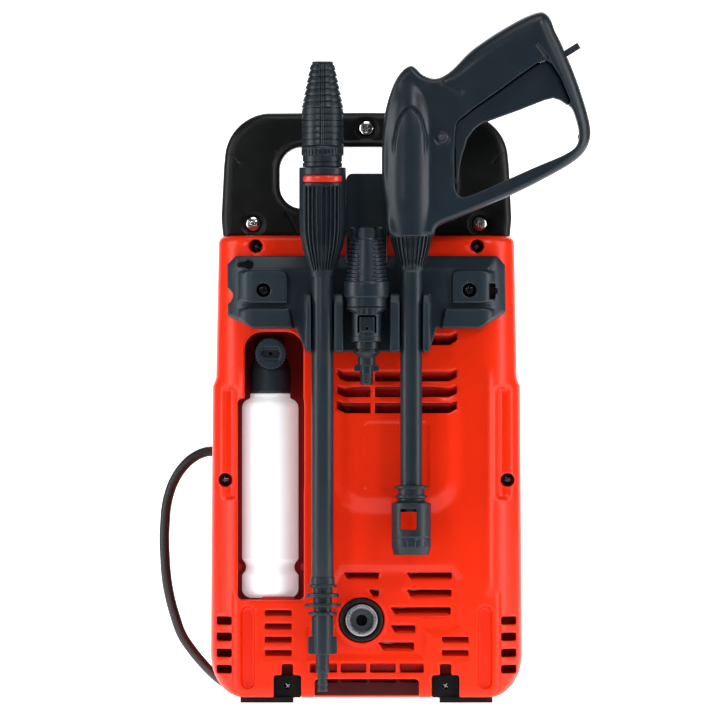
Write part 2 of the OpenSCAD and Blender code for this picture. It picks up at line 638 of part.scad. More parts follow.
module inlet_filter() color("white") placed() difference() {
    union() {
        rod_y(pump_x, inlet_z, 6, 78, 99);
        rod_y(pump_x, inlet_z, 9.4, 97, 99.5);
    }
    rod_y(pump_x, inlet_z, 5, 80, 101);
    for (a = [0:30:150], y = [82:4:94]) translate([pump_x, y, inlet_z]) rotate([0, a, 0])
        cube([20, 2.4, 1.4], center = true);
}
module pressure_switch() color(black) placed() {
    block(pump_x - head_r - 20, pump_x - head_r - 2, pump_y - 9, pump_y + 9, 48, 70);
    rod_x(pump_y, 59, 5, pump_x - head_r - 3, pump_x - head_r - 0.1);
}

// Switch and electrics
module switch_body() color(black) placed() difference() {
    union() {
        block(-20, 20, 56, front_face - 8, knob_z - 18, knob_z + 18);
        rod_y(0, knob_z, 12, front_face - 9, front_face - 1);
    }
    rod_y(0, knob_z, 5 + shaft_clear, 62, front_face + 1);
}
module switch_knob() color(soft_red) placed() {
    rod_y(0, knob_z, 5, 64, front_face + 5);
    rod_y(0, knob_z, 20, front_face + 3.4, front_face + 8);
    hull() for (z = [-13, 13]) rod_y(0, knob_z + z, 5, front_face + 7, front_face + 19);
}
module capacitor() color("#D8D8D0") placed() block(-44, -20, 56, 76, knob_z - 14, knob_z + 14);

// Cord: out of the pocket in the left flank, down in an arc and back to the coil behind
module strain_relief() color(black) placed() {
    translate([pocket_x - 20, cord_y, cord_z]) rotate([0, 90, 0])
        cylinder(r1 = cord_d / 2 + 0.6, r2 = 7.5, h = 20);
    rod_x(cord_y, cord_z, 5.5, pocket_x - eps, pocket_x + 9);
    rod_x(cord_y, cord_z, 8.5, pocket_x + 8 + eps, pocket_x + 11);
}
cord_route = [
    [-113.4, 38, 186], [-121, 38, 185.4], [-130.5, 38, 181], [-138, 38, 174], [-144, 38, 165],
    [-148, 38, 155], [-150.5, 38, 144], [-151.5, 38, 132], [-152, 38, 120], [-151.5, 38, 106],
    [-150.5, 38, 92], [-148, 39, 77], [-144, 41, 62], [-139, 44, 48], [-132, 49, 37],
    [-125, 56, 28], [-118, 66, 20], [-110.5, 78, 13], [-103.5, 92, 8], [-97, 107, 5],
    [-91.5, 124, 4.2], [-87, 142, 3.9], [-84, 160, 3.8], [-83.2, 176, 3.8]
];
coil_x = -18;
coil_y = 178;
coil_mean = 54;
module cord_run() color(black) placed() sweep(open_spline(cord_route, 3), cord_d / 2, 10);
coil_size = coil_rows * cord_d;
module cord_coil() color(black) placed() translate([coil_x, coil_y, 0]) rotate_extrude($fn = 48)
    translate([coil_mean - coil_size / 2, 0.05]) square([coil_size, coil_size - 1]);
plug_at = [coil_x - coil_mean, coil_y - 28, coil_size - 0.95];
module plug() color(black) placed() translate(plug_at) rotate([0, 0, 90]) {
    intersection() {
        translate([0, -14, 0]) cube([36, 28, 24]);
        translate([0, 0, 12]) rotate([0, 90, 0]) cylinder(r1 = 8, r2 = 17, h = 36);
    }
    for (y = [-9.5, 9.5]) rod_x(y, 12, 2.4, 36 - eps, 55);
}

// Gun
gun_points = [
    [33, 472.5], [23, 464], [16, 447], [12.5, 428], [11.2, 396], [14, 368], [17, 347], [33, 346],
    [49, 346.5],
    [53, 353.5], [72, 361.5], [108, 377], [133, 389.5], [155, 402.5], [164.5, 415], [164.8, 431],
    [155, 463], [141, 496], [133, 511], [122, 510.5], [100, 499], [78, 484], [63, 469], [52, 463],
    [42, 465.5]
];
loop_points = [
    [90, 431], [137, 448.5], [149, 443.5], [154, 436], [157.2, 420], [151, 409], [122, 396], [80, 377.5],
    [68, 376.5], [65, 390], [68.5, 414], [78, 425.5]
];
trigger_points = [
    [63, 428], [80, 441], [111, 462], [124, 470], [135, 468], [143, 455], [148.5, 444.5], [137, 450.2],
    [90, 432.9], [78, 426.8], [74.2, 419.5], [71.2, 408], [69.4, 398], [68.2, 388.5], [67, 384],
    [66.3, 388], [66.5, 400], [67.2, 406.2], [65.8, 409.5], [64.8, 411], [54, 411], [48, 419], [54, 427]
];
grip_open = [
    [60, 406], [68, 406], [74, 416], [79, 426.5], [90, 432], [137, 449], [151.2, 442.6], [148, 449],
    [137, 473.5], [131, 476.3], [125, 475.3], [111, 466], [90, 452], [70, 437.5], [50, 436],
    [46, 419], [50, 406]
];
gun_outer = closed_spline(gun_points, 4);
gun_loop = closed_spline(loop_points, 4);
module gun_shape(d) polygon(shrunk(gun_outer, d));
module at_hose() translate([hose_at[0], axis_y, hose_at[1]]) rotate([0, hose_tilt, 0]) children();
module at_tab() translate([147, axis_y, 481]) rotate([0, -32, 0]) children();
module gun_shell(s) difference() {
    intersection() {
        prism_y(axis_y - (s < 0 ? gun_half : 0), axis_y + (s > 0 ? gun_half : 0)) gun_shape(0);
    }
    prism_y(axis_y - 20, axis_y + 20) polygon(gun_loop);
    prism_y(axis_y - trigger_half - 0.5, axis_y + trigger_half + 0.5) polygon(grip_open);
    prism_y(axis_y - gun_half + 3, axis_y + gun_half - 3)
        polygon([[62, 442], [71, 434], [112, 462], [126, 470], [138, 468], [146, 462], [132, 499],
            [124, 503],
                [102, 492], [82, 478]]);
    rod_z(gun_x, axis_y, 10, 340, 432);
    at_tab() block(-8, 14, -5.4, 5.4, -2.8, 2.8);
    rod_y(trigger_pivot[0], trigger_pivot[1], 2.5, axis_y - gun_half - 1, axis_y + gun_half + 1);
    at_hose() rod_z(0, 0, 7, -24, 20);
}
module gun_rear_shell() color(trim_colour) placed() union() {
    gun_shell(-1);
    difference() {
        intersection() {
            hull() for (z = [362, 440]) translate([31, axis_y, z]) sphere(r = 19.5, $fn = 32);
            block(0, 60, axis_y - 25, axis_y, 340, 480);
        }
        block(-10, 80, axis_y - 15, axis_y + 15, 330, 500);
        rod_y(trigger_pivot[0], trigger_pivot[1], 2.5, axis_y - 40, axis_y + 40);
    }
}
module gun_front_shell() color(trim_colour) placed() union() {
    gun_shell(1);
    difference() {
        intersection() {
            hull() for (z = [362, 440]) translate([31, axis_y, z]) sphere(r = 19.5, $fn = 32);
            block(0, 60, axis_y, axis_y + 25, 340, 480);
        }
        block(-10, 80, axis_y - 15, axis_y + 15, 330, 500);
        rod_y(trigger_pivot[0], trigger_pivot[1], 2.5, axis_y - 40, axis_y + 40);
    }
}
module gun_trigger() color(trim_colour) placed() difference() {
    prism_y(axis_y - trigger_half, axis_y + trigger_half) polygon(trigger_points);
    rod_y(trigger_pivot[0], trigger_pivot[1], 2.5 + shaft_clear, axis_y - 20, axis_y + 20);
}
module trigger_pin() color(steel) placed()
    rod_y(trigger_pivot[0], trigger_pivot[1], 2.5, axis_y - gun_half, axis_y + gun_half);
module trigger_spring() color(steel) placed() translate([100, axis_y, 0])
    sweep(helix(0, 0, 4, 459.5, 486, 5, 10), 0.6, 6);
module gun_valve() color(brass) placed() {
    rod_z(gun_x, axis_y, 9.8, 366, 408);
    rod_z(gun_x, axis_y, 4, 408 - eps, 416);
}
module hose_inlet() color(brass) placed() at_hose() difference() {
    rod_z(0, 0, 7, -23, 0);
    rod_z(0, 0, 4.5, -19, 1);
    rod_z(0, 0, 2, -24, -18);
}
module hose_release_tab() color(trim_colour) placed() at_tab() block(-2, 12, -5, 5, -2.4, 2.4);
module gun_barrel() color(trim_colour) placed() difference() {
    union() {
        rod_z(gun_x, axis_y, tube_r, 142, 366);
        translate([gun_x, axis_y, 0]) rotate_extrude()
            polygon([[0, 322], [9.5, 322], [15, 328], [15, 344.8], [0, 344.8]]);
    }
    rod_z(gun_x, axis_y, 4.5, 141, 367);
}
module gun_socket() color(trim_colour) placed() difference() {
    translate([gun_x, axis_y, 0]) rotate_extrude() polygon([
        [0, 110.4], [13.1, 110.4], [14.6, 116.4], [14.6, 148.7], [10, 151], [10, 152.4], [12.1, 152.4],
        [12.1, 154.7], [10, 154.7], [10, 159.4], [12.8, 159.4], [12.8, 161.5], [8.5, 161.5], [0, 161.5]]);
    rod_z(gun_x, axis_y, tube_r, 142, 170);
    rod_z(gun_x, axis_y, 8.4, 100, 128);
    rod_z(gun_x, axis_y, 8, 127, 140);
    rod_z(gun_x, axis_y, 4.5, 130, 150);
    block(gun_x - 7.8, gun_x + 3.9, axis_y - 20, axis_y + 20, 128.8, 144.6);
}
gun_screw_at = [[62, 462], [66, 366], [104, 382], [159, 420], [116, 500]];
module gun_screws() color(steel) placed() for (p = gun_screw_at)
    difference() {
        rod_y(p[0], p[1], 2.6, axis_y + gun_half, axis_y + gun_half + 1.6);
        translate([p[0], axis_y + gun_half + 1.6, p[1]]) cube([4, 1.2, 0.8], center = true);
    }

// Lance
module lance_tube() color(trim_colour) placed() difference() {
    rod_z(lance_x, axis_y, tube_r, 94, 330);
    rod_z(lance_x, axis_y, 4.5, 93, 331);
}
function flutes(r, n, depth) = [for (i = [0:n * 4 - 1]) let (a = 360 * i / n / 4)
    (r - depth * (i % 4 < 2 ? 1 : 0)) * [cos(a), sin(a)]];
module lance_grip() color(trim_colour) placed() translate([lance_x, axis_y, 0]) difference() {
    union() {
        rotate_extrude() polygon([[0, 316], [8.6, 316], [9.2, 322], [16.4, 350], [16.4, 382], [0, 382]]);
        intersection() {
            rotate_extrude() polygon([[0, 320], [9.4, 320], [17.4, 350], [17.4, 382], [0, 382]]);
            translate([0, 0, 320]) linear_extrude(62) polygon(flutes(17.4, 30, 1.2));
        }
        rod_z(0, 0, 17.3, 381, 385.5);
        rod_z(0, 0, 15.4, 385, 392);
        rod_z(0, 0, 17.3, 391.5, 397);
    }
    rod_z(0, 0, tube_r, 310, 330);
    rod_z(0, 0, 6, 320, 398);
}
module indicator_ring() color(soft_red) placed() difference() {
    rod_z(lance_x, axis_y, 17, 385.6, 391.4);
    rod_z(lance_x, axis_y, 15.4, 380, 396);
}
function nozzle_fins() = [for (k = [0:13])
    let (z = 408.5 + 4.75 * k, r = k < 8 ? 15.5 : 15.5 - 1.15 * (k - 7))
    each [[r - 1.2, z], [r, z + 0.8], [r, z + 3.2], [r - 1.2, z + 4.4]]];
module turbo_nozzle() color(trim_colour) placed() translate([lance_x, axis_y, 0]) difference() {
    union() {
        rotate_extrude() polygon(concat([[0, 397.3], [14.6, 397.3], [14.6, 405.3], [15.6, 405.8],
            [15.6, 408]],
            nozzle_fins(), [[8, 475.7], [0, 475.7]]));
        rod_z(0, 0, 5.9, 380, 398);
    }
    rod_z(0, 0, 2.2, 379, 470);
    rod_z(0, 0, 5, 462, 477);
}
module lance_plug() color(trim_colour) placed() translate([lance_x, axis_y, 0]) difference() {
    union() {
        rotate_extrude() polygon([
            [0, 9.3], [3.4, 9.3], [3.8, 10], [3.8, 22.9], [5.1, 22.9], [5.1, 27.4], [4.9, 27.4],
            [4.9, 36.3],
            [6.6, 36.6], [6.6, 66], [10.6, 66], [10.6, 68.2], [6.6, 68.2], [6.6, 72], [13.6, 72],
            [13.6, 74.3],
            [7, 74.3], [7, 79], [12.3, 79], [12.3, 82], [7.4, 82], [7.4, 86.2], [10.6, 86.2], [10.6, 88.3],
            [9, 88.3], [9.6, 94], [0, 94]]);
        for (s = [-1, 1]) block(min(s * 6, s * 10.9), max(s * 6, s * 10.9), -3, 3, 36.8, 50);
        rod_z(0, 0, 4.4, 93, 100);
    }
    rod_z(0, 0, 1.6, 9, 101);
}

// Fan nozzle in the middle of the bracket
module nozzle_body() color(trim_colour) placed() translate([0, axis_y, 0]) difference() {
    union() {
        rotate_extrude() polygon([[0, 262.6], [14, 262.6], [14, 266], [13, 266.6], [13, 268.6], [14, 269.2],
            [14, 293], [13, 293.6], [0, 293.6]]);
        rod_z(0, 0, 9, 293, 350);
        block(-5.5, 5.5, -15.6, 0, 275, 286.5);
    }
    rod_z(0, 0, 3, 250, 351);
}
module nozzle_sleeve() color(trim_colour) placed() translate([0, axis_y, 0]) difference() {
    union() {
        rod_z(0, 0, 15.4, 294, 301);
        rod_z(0, 0, 16.9, 300.5, 313);
        rotate_extrude() polygon([[0, 312], [15.4, 312], [12.6, 340], [11.8, 352.5], [0, 352.5]]);
        intersection() {
            rotate_extrude() polygon([[0, 312], [16.3, 312], [13.3, 340], [13, 343], [0, 343]]);
            for (k = [0:8]) rotate([0, 0, 20 * k + 10]) block(-18, 18, -1.2, 1.2, 311, 344);
        }
    }
    rod_z(0, 0, 9.08, 290, 350.4);
    rod_z(0, 0, 4.4, 340, 354);
    for (x = [-7.8, 7.8]) block(x - 2.4, x + 2.4, -20, 20, 344, 354);
}
module nozzle_plug() color(trim_colour) placed() translate([0, axis_y, 0]) difference() {
    union() {
        rotate_extrude() polygon([[0, 236.2], [4.2, 236.2], [4.6, 237], [4.6, 250.6], [6.6, 251],
            [6.6, 256.8],
            [9.5, 257.2], [9.5, 260.4], [7.5, 260.6], [7.5, 262.6], [0, 262.6]]);
        for (s = [-1, 1]) block(min(s * 5, s * 9.4), max(s * 5, s * 9.4), -2.5, 2.5, 246, 250.9);
    }
    rod_z(0, 0, 1.6, 235, 263);
}

// Foam bottle
module at_bottle() translate([bottle_x, bottle_y, 0]) children();
module foam_bottle() color("white") placed() at_bottle() rotate_extrude() polygon(concat(
    [[0, 78]], arc([bottle_r - 6, 84], 6, 6, -90, 0, 5),
    [[bottle_r, 94.5], [bottle_r - 3.1, 97], [bottle_r - 3.1, 104], [bottle_r, 107]],
    arc([bottle_r - 6.4, 219.3], 6.4, 6.4, 0, 80, 5),
    [[14.8, 225.9], [14.8, 229.7], [9, 229.7], [9, 236], [7.6, 236], [7.6, 225.5], [bottle_r - 2, 218],
        [bottle_r - 2, 108], [bottle_r - 5, 105], [bottle_r - 5, 96], [bottle_r - 2, 93.4],
        [bottle_r - 2, 84],
        [bottle_r - 6, 80], [0, 80]]));
module bottle_cap() color(trim_colour) placed() at_bottle() difference() {
    union() {
        rotate_extrude() polygon([[0, 229.8], [15.1, 229.8], [15.3, 231], [15.3, 252],
            [11, 262], [10, 272], [0, 272]]);
        rod_y(0.6, 259.3, 9, -17.4, 0);
    }
    rod_z(0, 0, 9.1, 229, 240);
    rod_y(0.6, 259.3, 5.05, -18, -4);
}
module spray_tip() color(trim_colour) placed() at_bottle() translate([0.6, 0, 259.3]) difference() {
    union() {
        rod_y(0, 0, 11.7, -23, -17.8);
        rod_y(0, 0, 5, -18, -6);
    }
    prism_y(-24, -21.6) rounded(-6.4, 6.4, -4, 4, 3.9);
    rod_y(0, 0, 1.2, -25, -5);
}

rear_cover();
front_cover();
front_panel();
handle_rear_shell();
handle_front_shell();
base_tray();
rubber_feet();
accessory_bracket();
cover_screws();
handle_screws();
bracket_screws();
motor_stator();
motor_housing();
motor_rotor();
motor_fan();
motor_bearings();
carbon_brushes();
gearbox_case();
drive_pinion();
drive_gear();
wobble_plate();
piston_1();
piston_2();
piston_3();
piston_springs();
pump_head();
outlet_fitting();
outlet_collar();
inlet_fitting();
inlet_filter();
pressure_switch();
switch_body();
switch_knob();
capacitor();
strain_relief();
cord_run();
cord_coil();
plug();
gun_rear_shell();
gun_front_shell();
gun_trigger();
trigger_pin();
trigger_spring();
gun_valve();
hose_inlet();
hose_release_tab();
gun_barrel();
gun_socket();
gun_screws();
lance_tube();
lance_grip();
turbo_nozzle();
indicator_ring();
lance_plug();
nozzle_body();
nozzle_sleeve();
nozzle_plug();
foam_bottle();
bottle_cap();
spray_tip();
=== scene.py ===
import json
import math
import bmesh
import bpy
import numpy as np
import openvdb
from mathutils import Matrix, Vector


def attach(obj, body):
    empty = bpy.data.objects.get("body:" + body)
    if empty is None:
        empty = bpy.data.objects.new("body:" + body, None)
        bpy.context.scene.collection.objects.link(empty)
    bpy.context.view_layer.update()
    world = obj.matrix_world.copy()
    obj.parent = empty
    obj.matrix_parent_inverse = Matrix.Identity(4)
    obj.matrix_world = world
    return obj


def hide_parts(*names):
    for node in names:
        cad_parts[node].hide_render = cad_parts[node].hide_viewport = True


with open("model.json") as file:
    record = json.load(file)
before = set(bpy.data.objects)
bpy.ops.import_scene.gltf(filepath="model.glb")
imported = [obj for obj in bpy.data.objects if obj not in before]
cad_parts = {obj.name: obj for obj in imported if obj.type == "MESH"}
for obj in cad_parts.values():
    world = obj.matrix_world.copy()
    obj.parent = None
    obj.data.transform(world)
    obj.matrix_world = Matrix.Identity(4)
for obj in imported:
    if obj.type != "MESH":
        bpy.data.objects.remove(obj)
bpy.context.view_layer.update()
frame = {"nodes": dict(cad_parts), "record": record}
NODES = frame["nodes"]
SCENE = bpy.context.scene
COLLECTION = SCENE.collection
F = np.float32

# ---- shared frame
# Shapes are written in the design's own millimetres and moved into the row's frame by place().
SHIFT = Vector((-25.0, 13.0, 0.0))
LX, GX, AY = -32.5, 33.1, -111.0  # the lance's and the gun's x, and the y on which the stored tools lie
BX, BY, BR = -71.6, -60.0, 20.8  # the bottle's axis and radius
PX, OZ, IZ = -3.6, 61.5, 50.0  # the water fittings' x, and the heights of outlet and inlet
FOOT_X = 58.7
REAR_Y, SPLIT_Y, WALL = -85.0, -20, 3  # the rear face, the plane where the covers meet, and their wall
HANDLE_Y = -46  # where the handle's halves meet
PIVOT = (55.8, 419.2)  # the trigger's pin
PULLS = (0, 2.8, 5.6, 8.4)  # degrees of the trigger's travel, a little past its stop
HOSE, HOSE_TILT, HOSE_DEEP = (139.5, 497.5), math.radians(62), 24
COVER_SCREWS = [(-82, 339), (82, 339), (-104.8, 165.5), (104.8, 165.5), (-58.5, 12.2), (58.9, 12.2)]
HANDLE_SCREWS = [(-84.2, 355.8), (84.2, 355.8), (0, 427)]
BRACKET_SCREWS = [(-76.3, 306.4), (76.3, 306.4)]


def place(x, y, z):
    return ((x + SHIFT.x) / 1000, (y + SHIFT.y) / 1000, z / 1000)


def show(name, data):
    """A new object of the scene."""
    obj = bpy.data.objects.new(name, data)
    COLLECTION.objects.link(obj)
    return obj


# ---- camera
cam = bpy.data.cameras.new("camera")
cam.lens = 600
cam.sensor_width = 36
cam.clip_end = 30
cam_obj = show("camera", cam)
cam_obj.location = (-0.0298, -8.978, 0.2546)
cam_obj.rotation_euler = (math.radians(90), 0, 0)
SCENE.camera = cam_obj


# ---- materials
class Nodes:
    """Short names for building a node tree."""

    def __init__(self, name):
        self.mat = bpy.data.materials.new(name)
        self.mat.use_nodes = True
        self.t = self.mat.node_tree
        self.t.nodes.clear()
        out = self.t.nodes.new("ShaderNodeOutputMaterial")
        self.bsdf = self.t.nodes.new("ShaderNodeBsdfPrincipled")
        self.link(self.bsdf.outputs[0], out.inputs[0])
        self.coord = self.t.nodes.new("ShaderNodeTexCoord").outputs["Object"]

    def link(self, a, b):
        self.t.links.new(a, b)

    def node(self, kind, src, into, **values):
        """A node fed by src; an underscore in a socket's name stands for a space."""
        n = self.t.nodes.new("ShaderNode" + kind)
        for key, v in values.items():
            n.inputs[key.replace("_", " ")].default_value = v
        self.link(src, n.inputs[into])
        return n

    def noise(self, scale, detail=3.0, rough=0.5, stretch=None):
        src = self.coord
        if stretch:
            src = self.node("Mapping", src, "Vector", Scale=stretch).outputs[0]
        return self.node("TexNoise", src, "Vector", Scale=scale, Detail=detail, Roughness=rough).outputs["Fac"]

    def ramp(self, src, lo, hi, a=0.3, b=0.7):
        return self.node("MapRange", src, "Value", From_Min=a, From_Max=b, To_Min=lo, To_Max=hi).outputs["Result"]

    def mix(self, fac, a, b):
        n = self.t.nodes.new("ShaderNodeMix")
        n.data_type = "RGBA"
        self.link(fac, n.inputs["Factor"])
        for key, v in (("A", a), ("B", b)):
            sock = [s for s in n.inputs if s.name == key and s.type == "RGBA"][0]
            if isinstance(v, bpy.types.NodeSocket):
                self.link(v, sock)
            else:
                sock.default_value = (*v, 1)
        return [s for s in n.outputs if s.type == "RGBA"][0]

    def bump(self, src, strength, distance, after=None):
        n = self.node("Bump", src, "Height", Strength=strength, Distance=distance)
        if after is not None:
            self.link(after, n.inputs["Normal"])
        return n.outputs["Normal"]

    def set(self, values):
        for key, v in values.items():
            self.bsdf.inputs[key].default_value = v


def lin(h):
    """A colour as the eye names it, in linear light."""
    c = [int(h[i:i + 2], 16) / 255 for i in (0, 2, 4)]
    return tuple(v / 12.92 if v <= 0.04045 else ((v + 0.055) / 1.055) ** 2.4 for v in c)


def plastic(name, colour, dark, rough, grain, depth, coat=0.0, peel=0.0, edge=0.0, sheen=0.0, sss=0.0, spec=0.5,
            painted_glow=0.0, vary=0.055):
    """Moulded plastic: slow drift of colour, uneven gloss, a fine moulded grain and sharp edges painted paler as a
    highlight.
    """
    n = Nodes(name)
    base = n.mix(n.ramp(n.noise(9, 4), 0.0, 1.0), lin(dark), lin(colour))
    # sharp convex edges painted paler: a painted highlight
    if edge:
        g = n.t.nodes.new("ShaderNodeNewGeometry")
        edge_highlight = n.ramp(g.outputs["Pointiness"], 0.0, edge, 0.53, 0.62)
        base = n.mix(edge_highlight, base, tuple(min(1, v * 2.2 + 0.06) for v in lin(colour)))
    n.link(base, n.bsdf.inputs["Base Color"])
    n.link(n.ramp(n.noise(70, 5, 0.6), rough - vary, rough + vary), n.bsdf.inputs["Roughness"])
    normal = n.bump(n.noise(grain, 2, 0.5), depth, 0.0003)
    if peel:
        normal = n.bump(n.noise(130, 2, 0.4), peel, 0.0008, normal)
    n.link(normal, n.bsdf.inputs["Normal"])
    n.set({"IOR": 1.5, "Specular IOR Level": spec, "Sheen Weight": sheen})
    if coat:
        n.set({"Coat Weight": coat, "Coat Roughness": 0.12})
    if sss:
        n.set({"Subsurface Weight": sss, "Subsurface Radius": (1.0, 0.8, 0.7), "Subsurface Scale": 0.004})
    # a faint emission: painted light
    if painted_glow:
        n.set({"Emission Color": (0.94, 0.97, 1.0, 1.0), "Emission Strength": painted_glow})
    return n.mat


def metal(name, colour, dark, rough, stretch=None, scale=300, depth=0.1):
    """Bare metal with a slow drift of colour and fine streaks in its gloss."""
    n = Nodes(name)
    n.link(n.mix(n.ramp(n.noise(40, 4), 0.0, 1.0), lin(dark), lin(colour)), n.bsdf.inputs["Base Color"])
    streak = n.noise(scale, 5, 0.6, stretch)
    n.link(n.ramp(streak, rough - 0.07, rough + 0.09), n.bsdf.inputs["Roughness"])
    n.link(n.bump(streak, depth, 0.0002), n.bsdf.inputs["Normal"])
    n.set({"Metallic": 1.0})
    return n.mat


RED = plastic("shell_red", "F12E06", "E62704", 0.3, 1500, 0.05, coat=0.02, spec=0.25, vary=0.02)
# Darker reds for faces deep inside the rear cover: painted shade in its recesses and vents, and a deeper painted shade
# low down by the floor.
RED_PAINTED_SHADE = plastic("shell_red_painted_shade_inside", "B01812", "981410", 0.5, 900, 0.15, spec=0.25)
RED_PAINTED_DEEP_SHADE = plastic("shell_red_shade", "4A0B0C", "3C090A", 0.5, 900, 0.15, spec=0.2)
# near black for faces deep in holes and slots: painted shade
HOLE_PAINTED_SHADE = plastic("hole_painted_shade_black", "07090B", "050607", 0.6, 900, 0.1, spec=0.15)
# these three get sharp edges painted paler, a painted highlight
DARK = plastic("trim_blue_grey", "222F38", "1D2931", 0.4, 1700, 0.16, edge=0.2, spec=0.35)
GUN = plastic("gun_blue_grey", "1C2831", "18232B", 0.36, 1800, 0.1, edge=0.18, spec=0.35)
BLACK = plastic("handle_black", "090B0D", "07090A", 0.42, 1300, 0.25, edge=0.1, spec=0.28)
PLAIN = plastic("inner_black", "121416", "0E1011", 0.5, 1100, 0.2, spec=0.4)
RUBBER = plastic("rubber", "0E0F10", "0A0B0C", 0.68, 700, 0.3, spec=0.2)
CORD = plastic("cord_rubber", "17191B", "111314", 0.42, 900, 0.18, sheen=0.05)
# the bottle glows faintly though it is no lamp, painted light that keeps it white
WHITE = plastic("bottle_white", "FAFCFF", "F4F8FD", 0.32, 500, 0.05, sss=0.25, peel=0.04, painted_glow=0.3)
BOARD = plastic("white_parts", "E9EAEA", "DEDFE0", 0.4, 700, 0.1)
SOFT_RED = plastic("ring_red", "E3301A", "D62A16", 0.32, 1200, 0.08, coat=0.3)
NICKEL = metal("nickel", "C9C8C6", "B3B2B1", 0.24, (1, 1, 14), 260, 0.12)
ZINC = metal("zinc", "DADBDC", "BFC0C2", 0.18, None, 500, 0.06)
STEEL = metal("outlet_steel", "AEB3B8", "969BA1", 0.32, None, 420, 0.25)
# a darker steel for the outlet's bore: painted shade
OUTLET_PAINTED_SHADE = metal("outlet_painted_shade", "4A4D53", "3A3D42", 0.5, None, 500, 0.3)
BLACKED = metal("blacked_screw", "34373A", "2A2C2F", 0.25, None, 500, 0.06)
CAST = metal("cast_metal", "B9BBBD", "A2A4A6", 0.42, None, 380, 0.5)
BRASS = metal("brass", "D0A653", "B98E3E", 0.28, None, 320, 0.12)
COPPER = metal("copper", "C67A46", "A9602F", 0.35, (1, 1, 40), 500, 0.4)
CARBON = plastic("carbon", "2A2B2D", "202123", 0.7, 800, 0.3)
GEAR = plastic("gear_nylon", "3A3D40", "303336", 0.45, 900, 0.15)

LOOK = {name: mat for mat, names in (
    (RED, "rear_cover front_cover"),
    (DARK, "front_panel accessory_bracket bottle_cap spray_tip"),
    (BLACK, "handle_rear_shell handle_front_shell outlet_collar"),
    (PLAIN, "base_tray motor_housing pressure_switch switch_body"),
    (RUBBER, "rubber_feet"),
    (ZINC, "cover_screws handle_screws trigger_pin gun_screws"),
    (BLACKED, "bracket_screws"),
    (COPPER, "motor_stator"),
    (NICKEL, "motor_rotor motor_bearings drive_pinion wobble_plate piston_1 piston_2 piston_3 piston_springs"),
    (NICKEL, "trigger_spring"),
    (GEAR, "motor_fan drive_gear"),
    (CARBON, "carbon_brushes"),
    (CAST, "gearbox_case pump_head"),
    (STEEL, "outlet_fitting"),
    (BRASS, "inlet_fitting gun_valve hose_inlet"),
    (BOARD, "inlet_filter capacitor"),
    (SOFT_RED, "switch_knob indicator_ring"),
    (CORD, "strain_relief cord_run cord_coil plug"),
    (GUN, "gun_rear_shell gun_front_shell gun_trigger hose_release_tab gun_barrel gun_socket lance_tube"),
    (GUN, "lance_grip turbo_nozzle lance_plug nozzle_body nozzle_sleeve nozzle_plug"),
    (WHITE, "foam_bottle"),
) for name in names.split()}
BODY = {n: b for b, ns in frame["record"]["behaviour"]["bodies"].items() for n in ns}
DONE = {"cord_run", "cord_coil"}  # CAD nodes that a new piece stands for

for name, obj in NODES.items():
    obj.data.materials.clear()
    obj.data.materials.append(LOOK[name])


# ---- meshes
def stand_in(obj, node):
    """A piece that stands for a CAD node and rides on its body."""
    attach(obj, BODY[node])
    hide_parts(node)
    DONE.add(node)


def shade(me, angle):
    me.polygons.foreach_set("use_smooth", [True] * len(me.polygons))
    me.set_sharp_from_angle(angle=math.radians(angle))


def add(name, verts, faces, node=None, mat=None):
    """A new piece from points in design millimetres."""
    me = bpy.data.meshes.new(name)
    me.from_pydata([place(*v) for v in verts], [], faces)
    me.validate()
    me.update()
    obj = show(name, me)
    me.materials.append(mat or LOOK[node])
    if node:
        stand_in(obj, node)
    return obj


def smin(a, b, k):
    """The lesser of two distances, with the corner between them filled over k."""
    if k <= 0:
        return np.minimum(a, b)
    h = np.maximum(k - np.abs(a - b), 0)
    return np.minimum(a, b) - h * h / (4 * k)


def smax(a, b, k):
    return -smin(-a, -b, k)


def near(c, r):
    return (c - r, c + r)


def rod(p, q, cp, cq, r):
    """Distance to an endless cylinder along the third axis."""
    return np.hypot(p - cp, q - cq) - r


def box2(x, z, x0, x1, z0, z1, r=0.0):
    """Distance to a rectangle with round corners."""
    qx = np.abs(x - (x0 + x1) / 2) - (x1 - x0) / 2 + r
    qz = np.abs(z - (z0 + z1) / 2) - (z1 - z0) / 2 + r
    return np.minimum(np.maximum(qx, qz), 0) + np.hypot(np.maximum(qx, 0), np.maximum(qz, 0)) - r


def poly2(x, z, pts):
    """Distance to a polygon, negative inside."""
    pts = np.asarray(pts, float)
    best = inside = None
    for (ax, az), (bx, bz) in zip(pts, np.roll(pts, -1, 0)):
        ex, ez = bx - ax, bz - az
        if ex * ex + ez * ez < 1e-12:
            continue
        wx, wz = x - ax, z - az
        t = np.clip((wx * ex + wz * ez) / (ex * ex + ez * ez), 0, 1)
        d = (wx - ex * t) ** 2 + (wz - ez * t) ** 2
        c1, c2, c3 = z >= az, z < bz, ex * wz > ez * wx
        flip = (c1 & c2 & c3) | (~c1 & ~c2 & ~c3)
        best = d if best is None else np.minimum(best, d)
        inside = flip if inside is None else inside ^ flip
    return (np.where(inside, -1, 1) * np.sqrt(best)).astype(F)


def seg(x, z, x0, z0, x1, z1):
    """Distance to a line between two points."""
    ex, ez = x1 - x0, z1 - z0
    t = np.clip(((x - x0) * ex + (z - z0) * ez) / (ex * ex + ez * ez), 0, 1)
    return np.hypot(x - x0 - ex * t, z - z0 - ez * t)


def prism(d2, y, y0, y1, r=0.0):
    """A flat shape drawn out between two planes, with its edges rounded by r."""
    a = d2 + r
    b = np.abs(y - (y0 + y1) / 2) - (y1 - y0) / 2 + r
    return np.minimum(np.maximum(a, b), 0) + np.hypot(np.maximum(a, 0), np.maximum(b, 0)) - r


def ease(t):
    t = np.clip(t, 0, 1)
    return t * t * (3 - 2 * t)


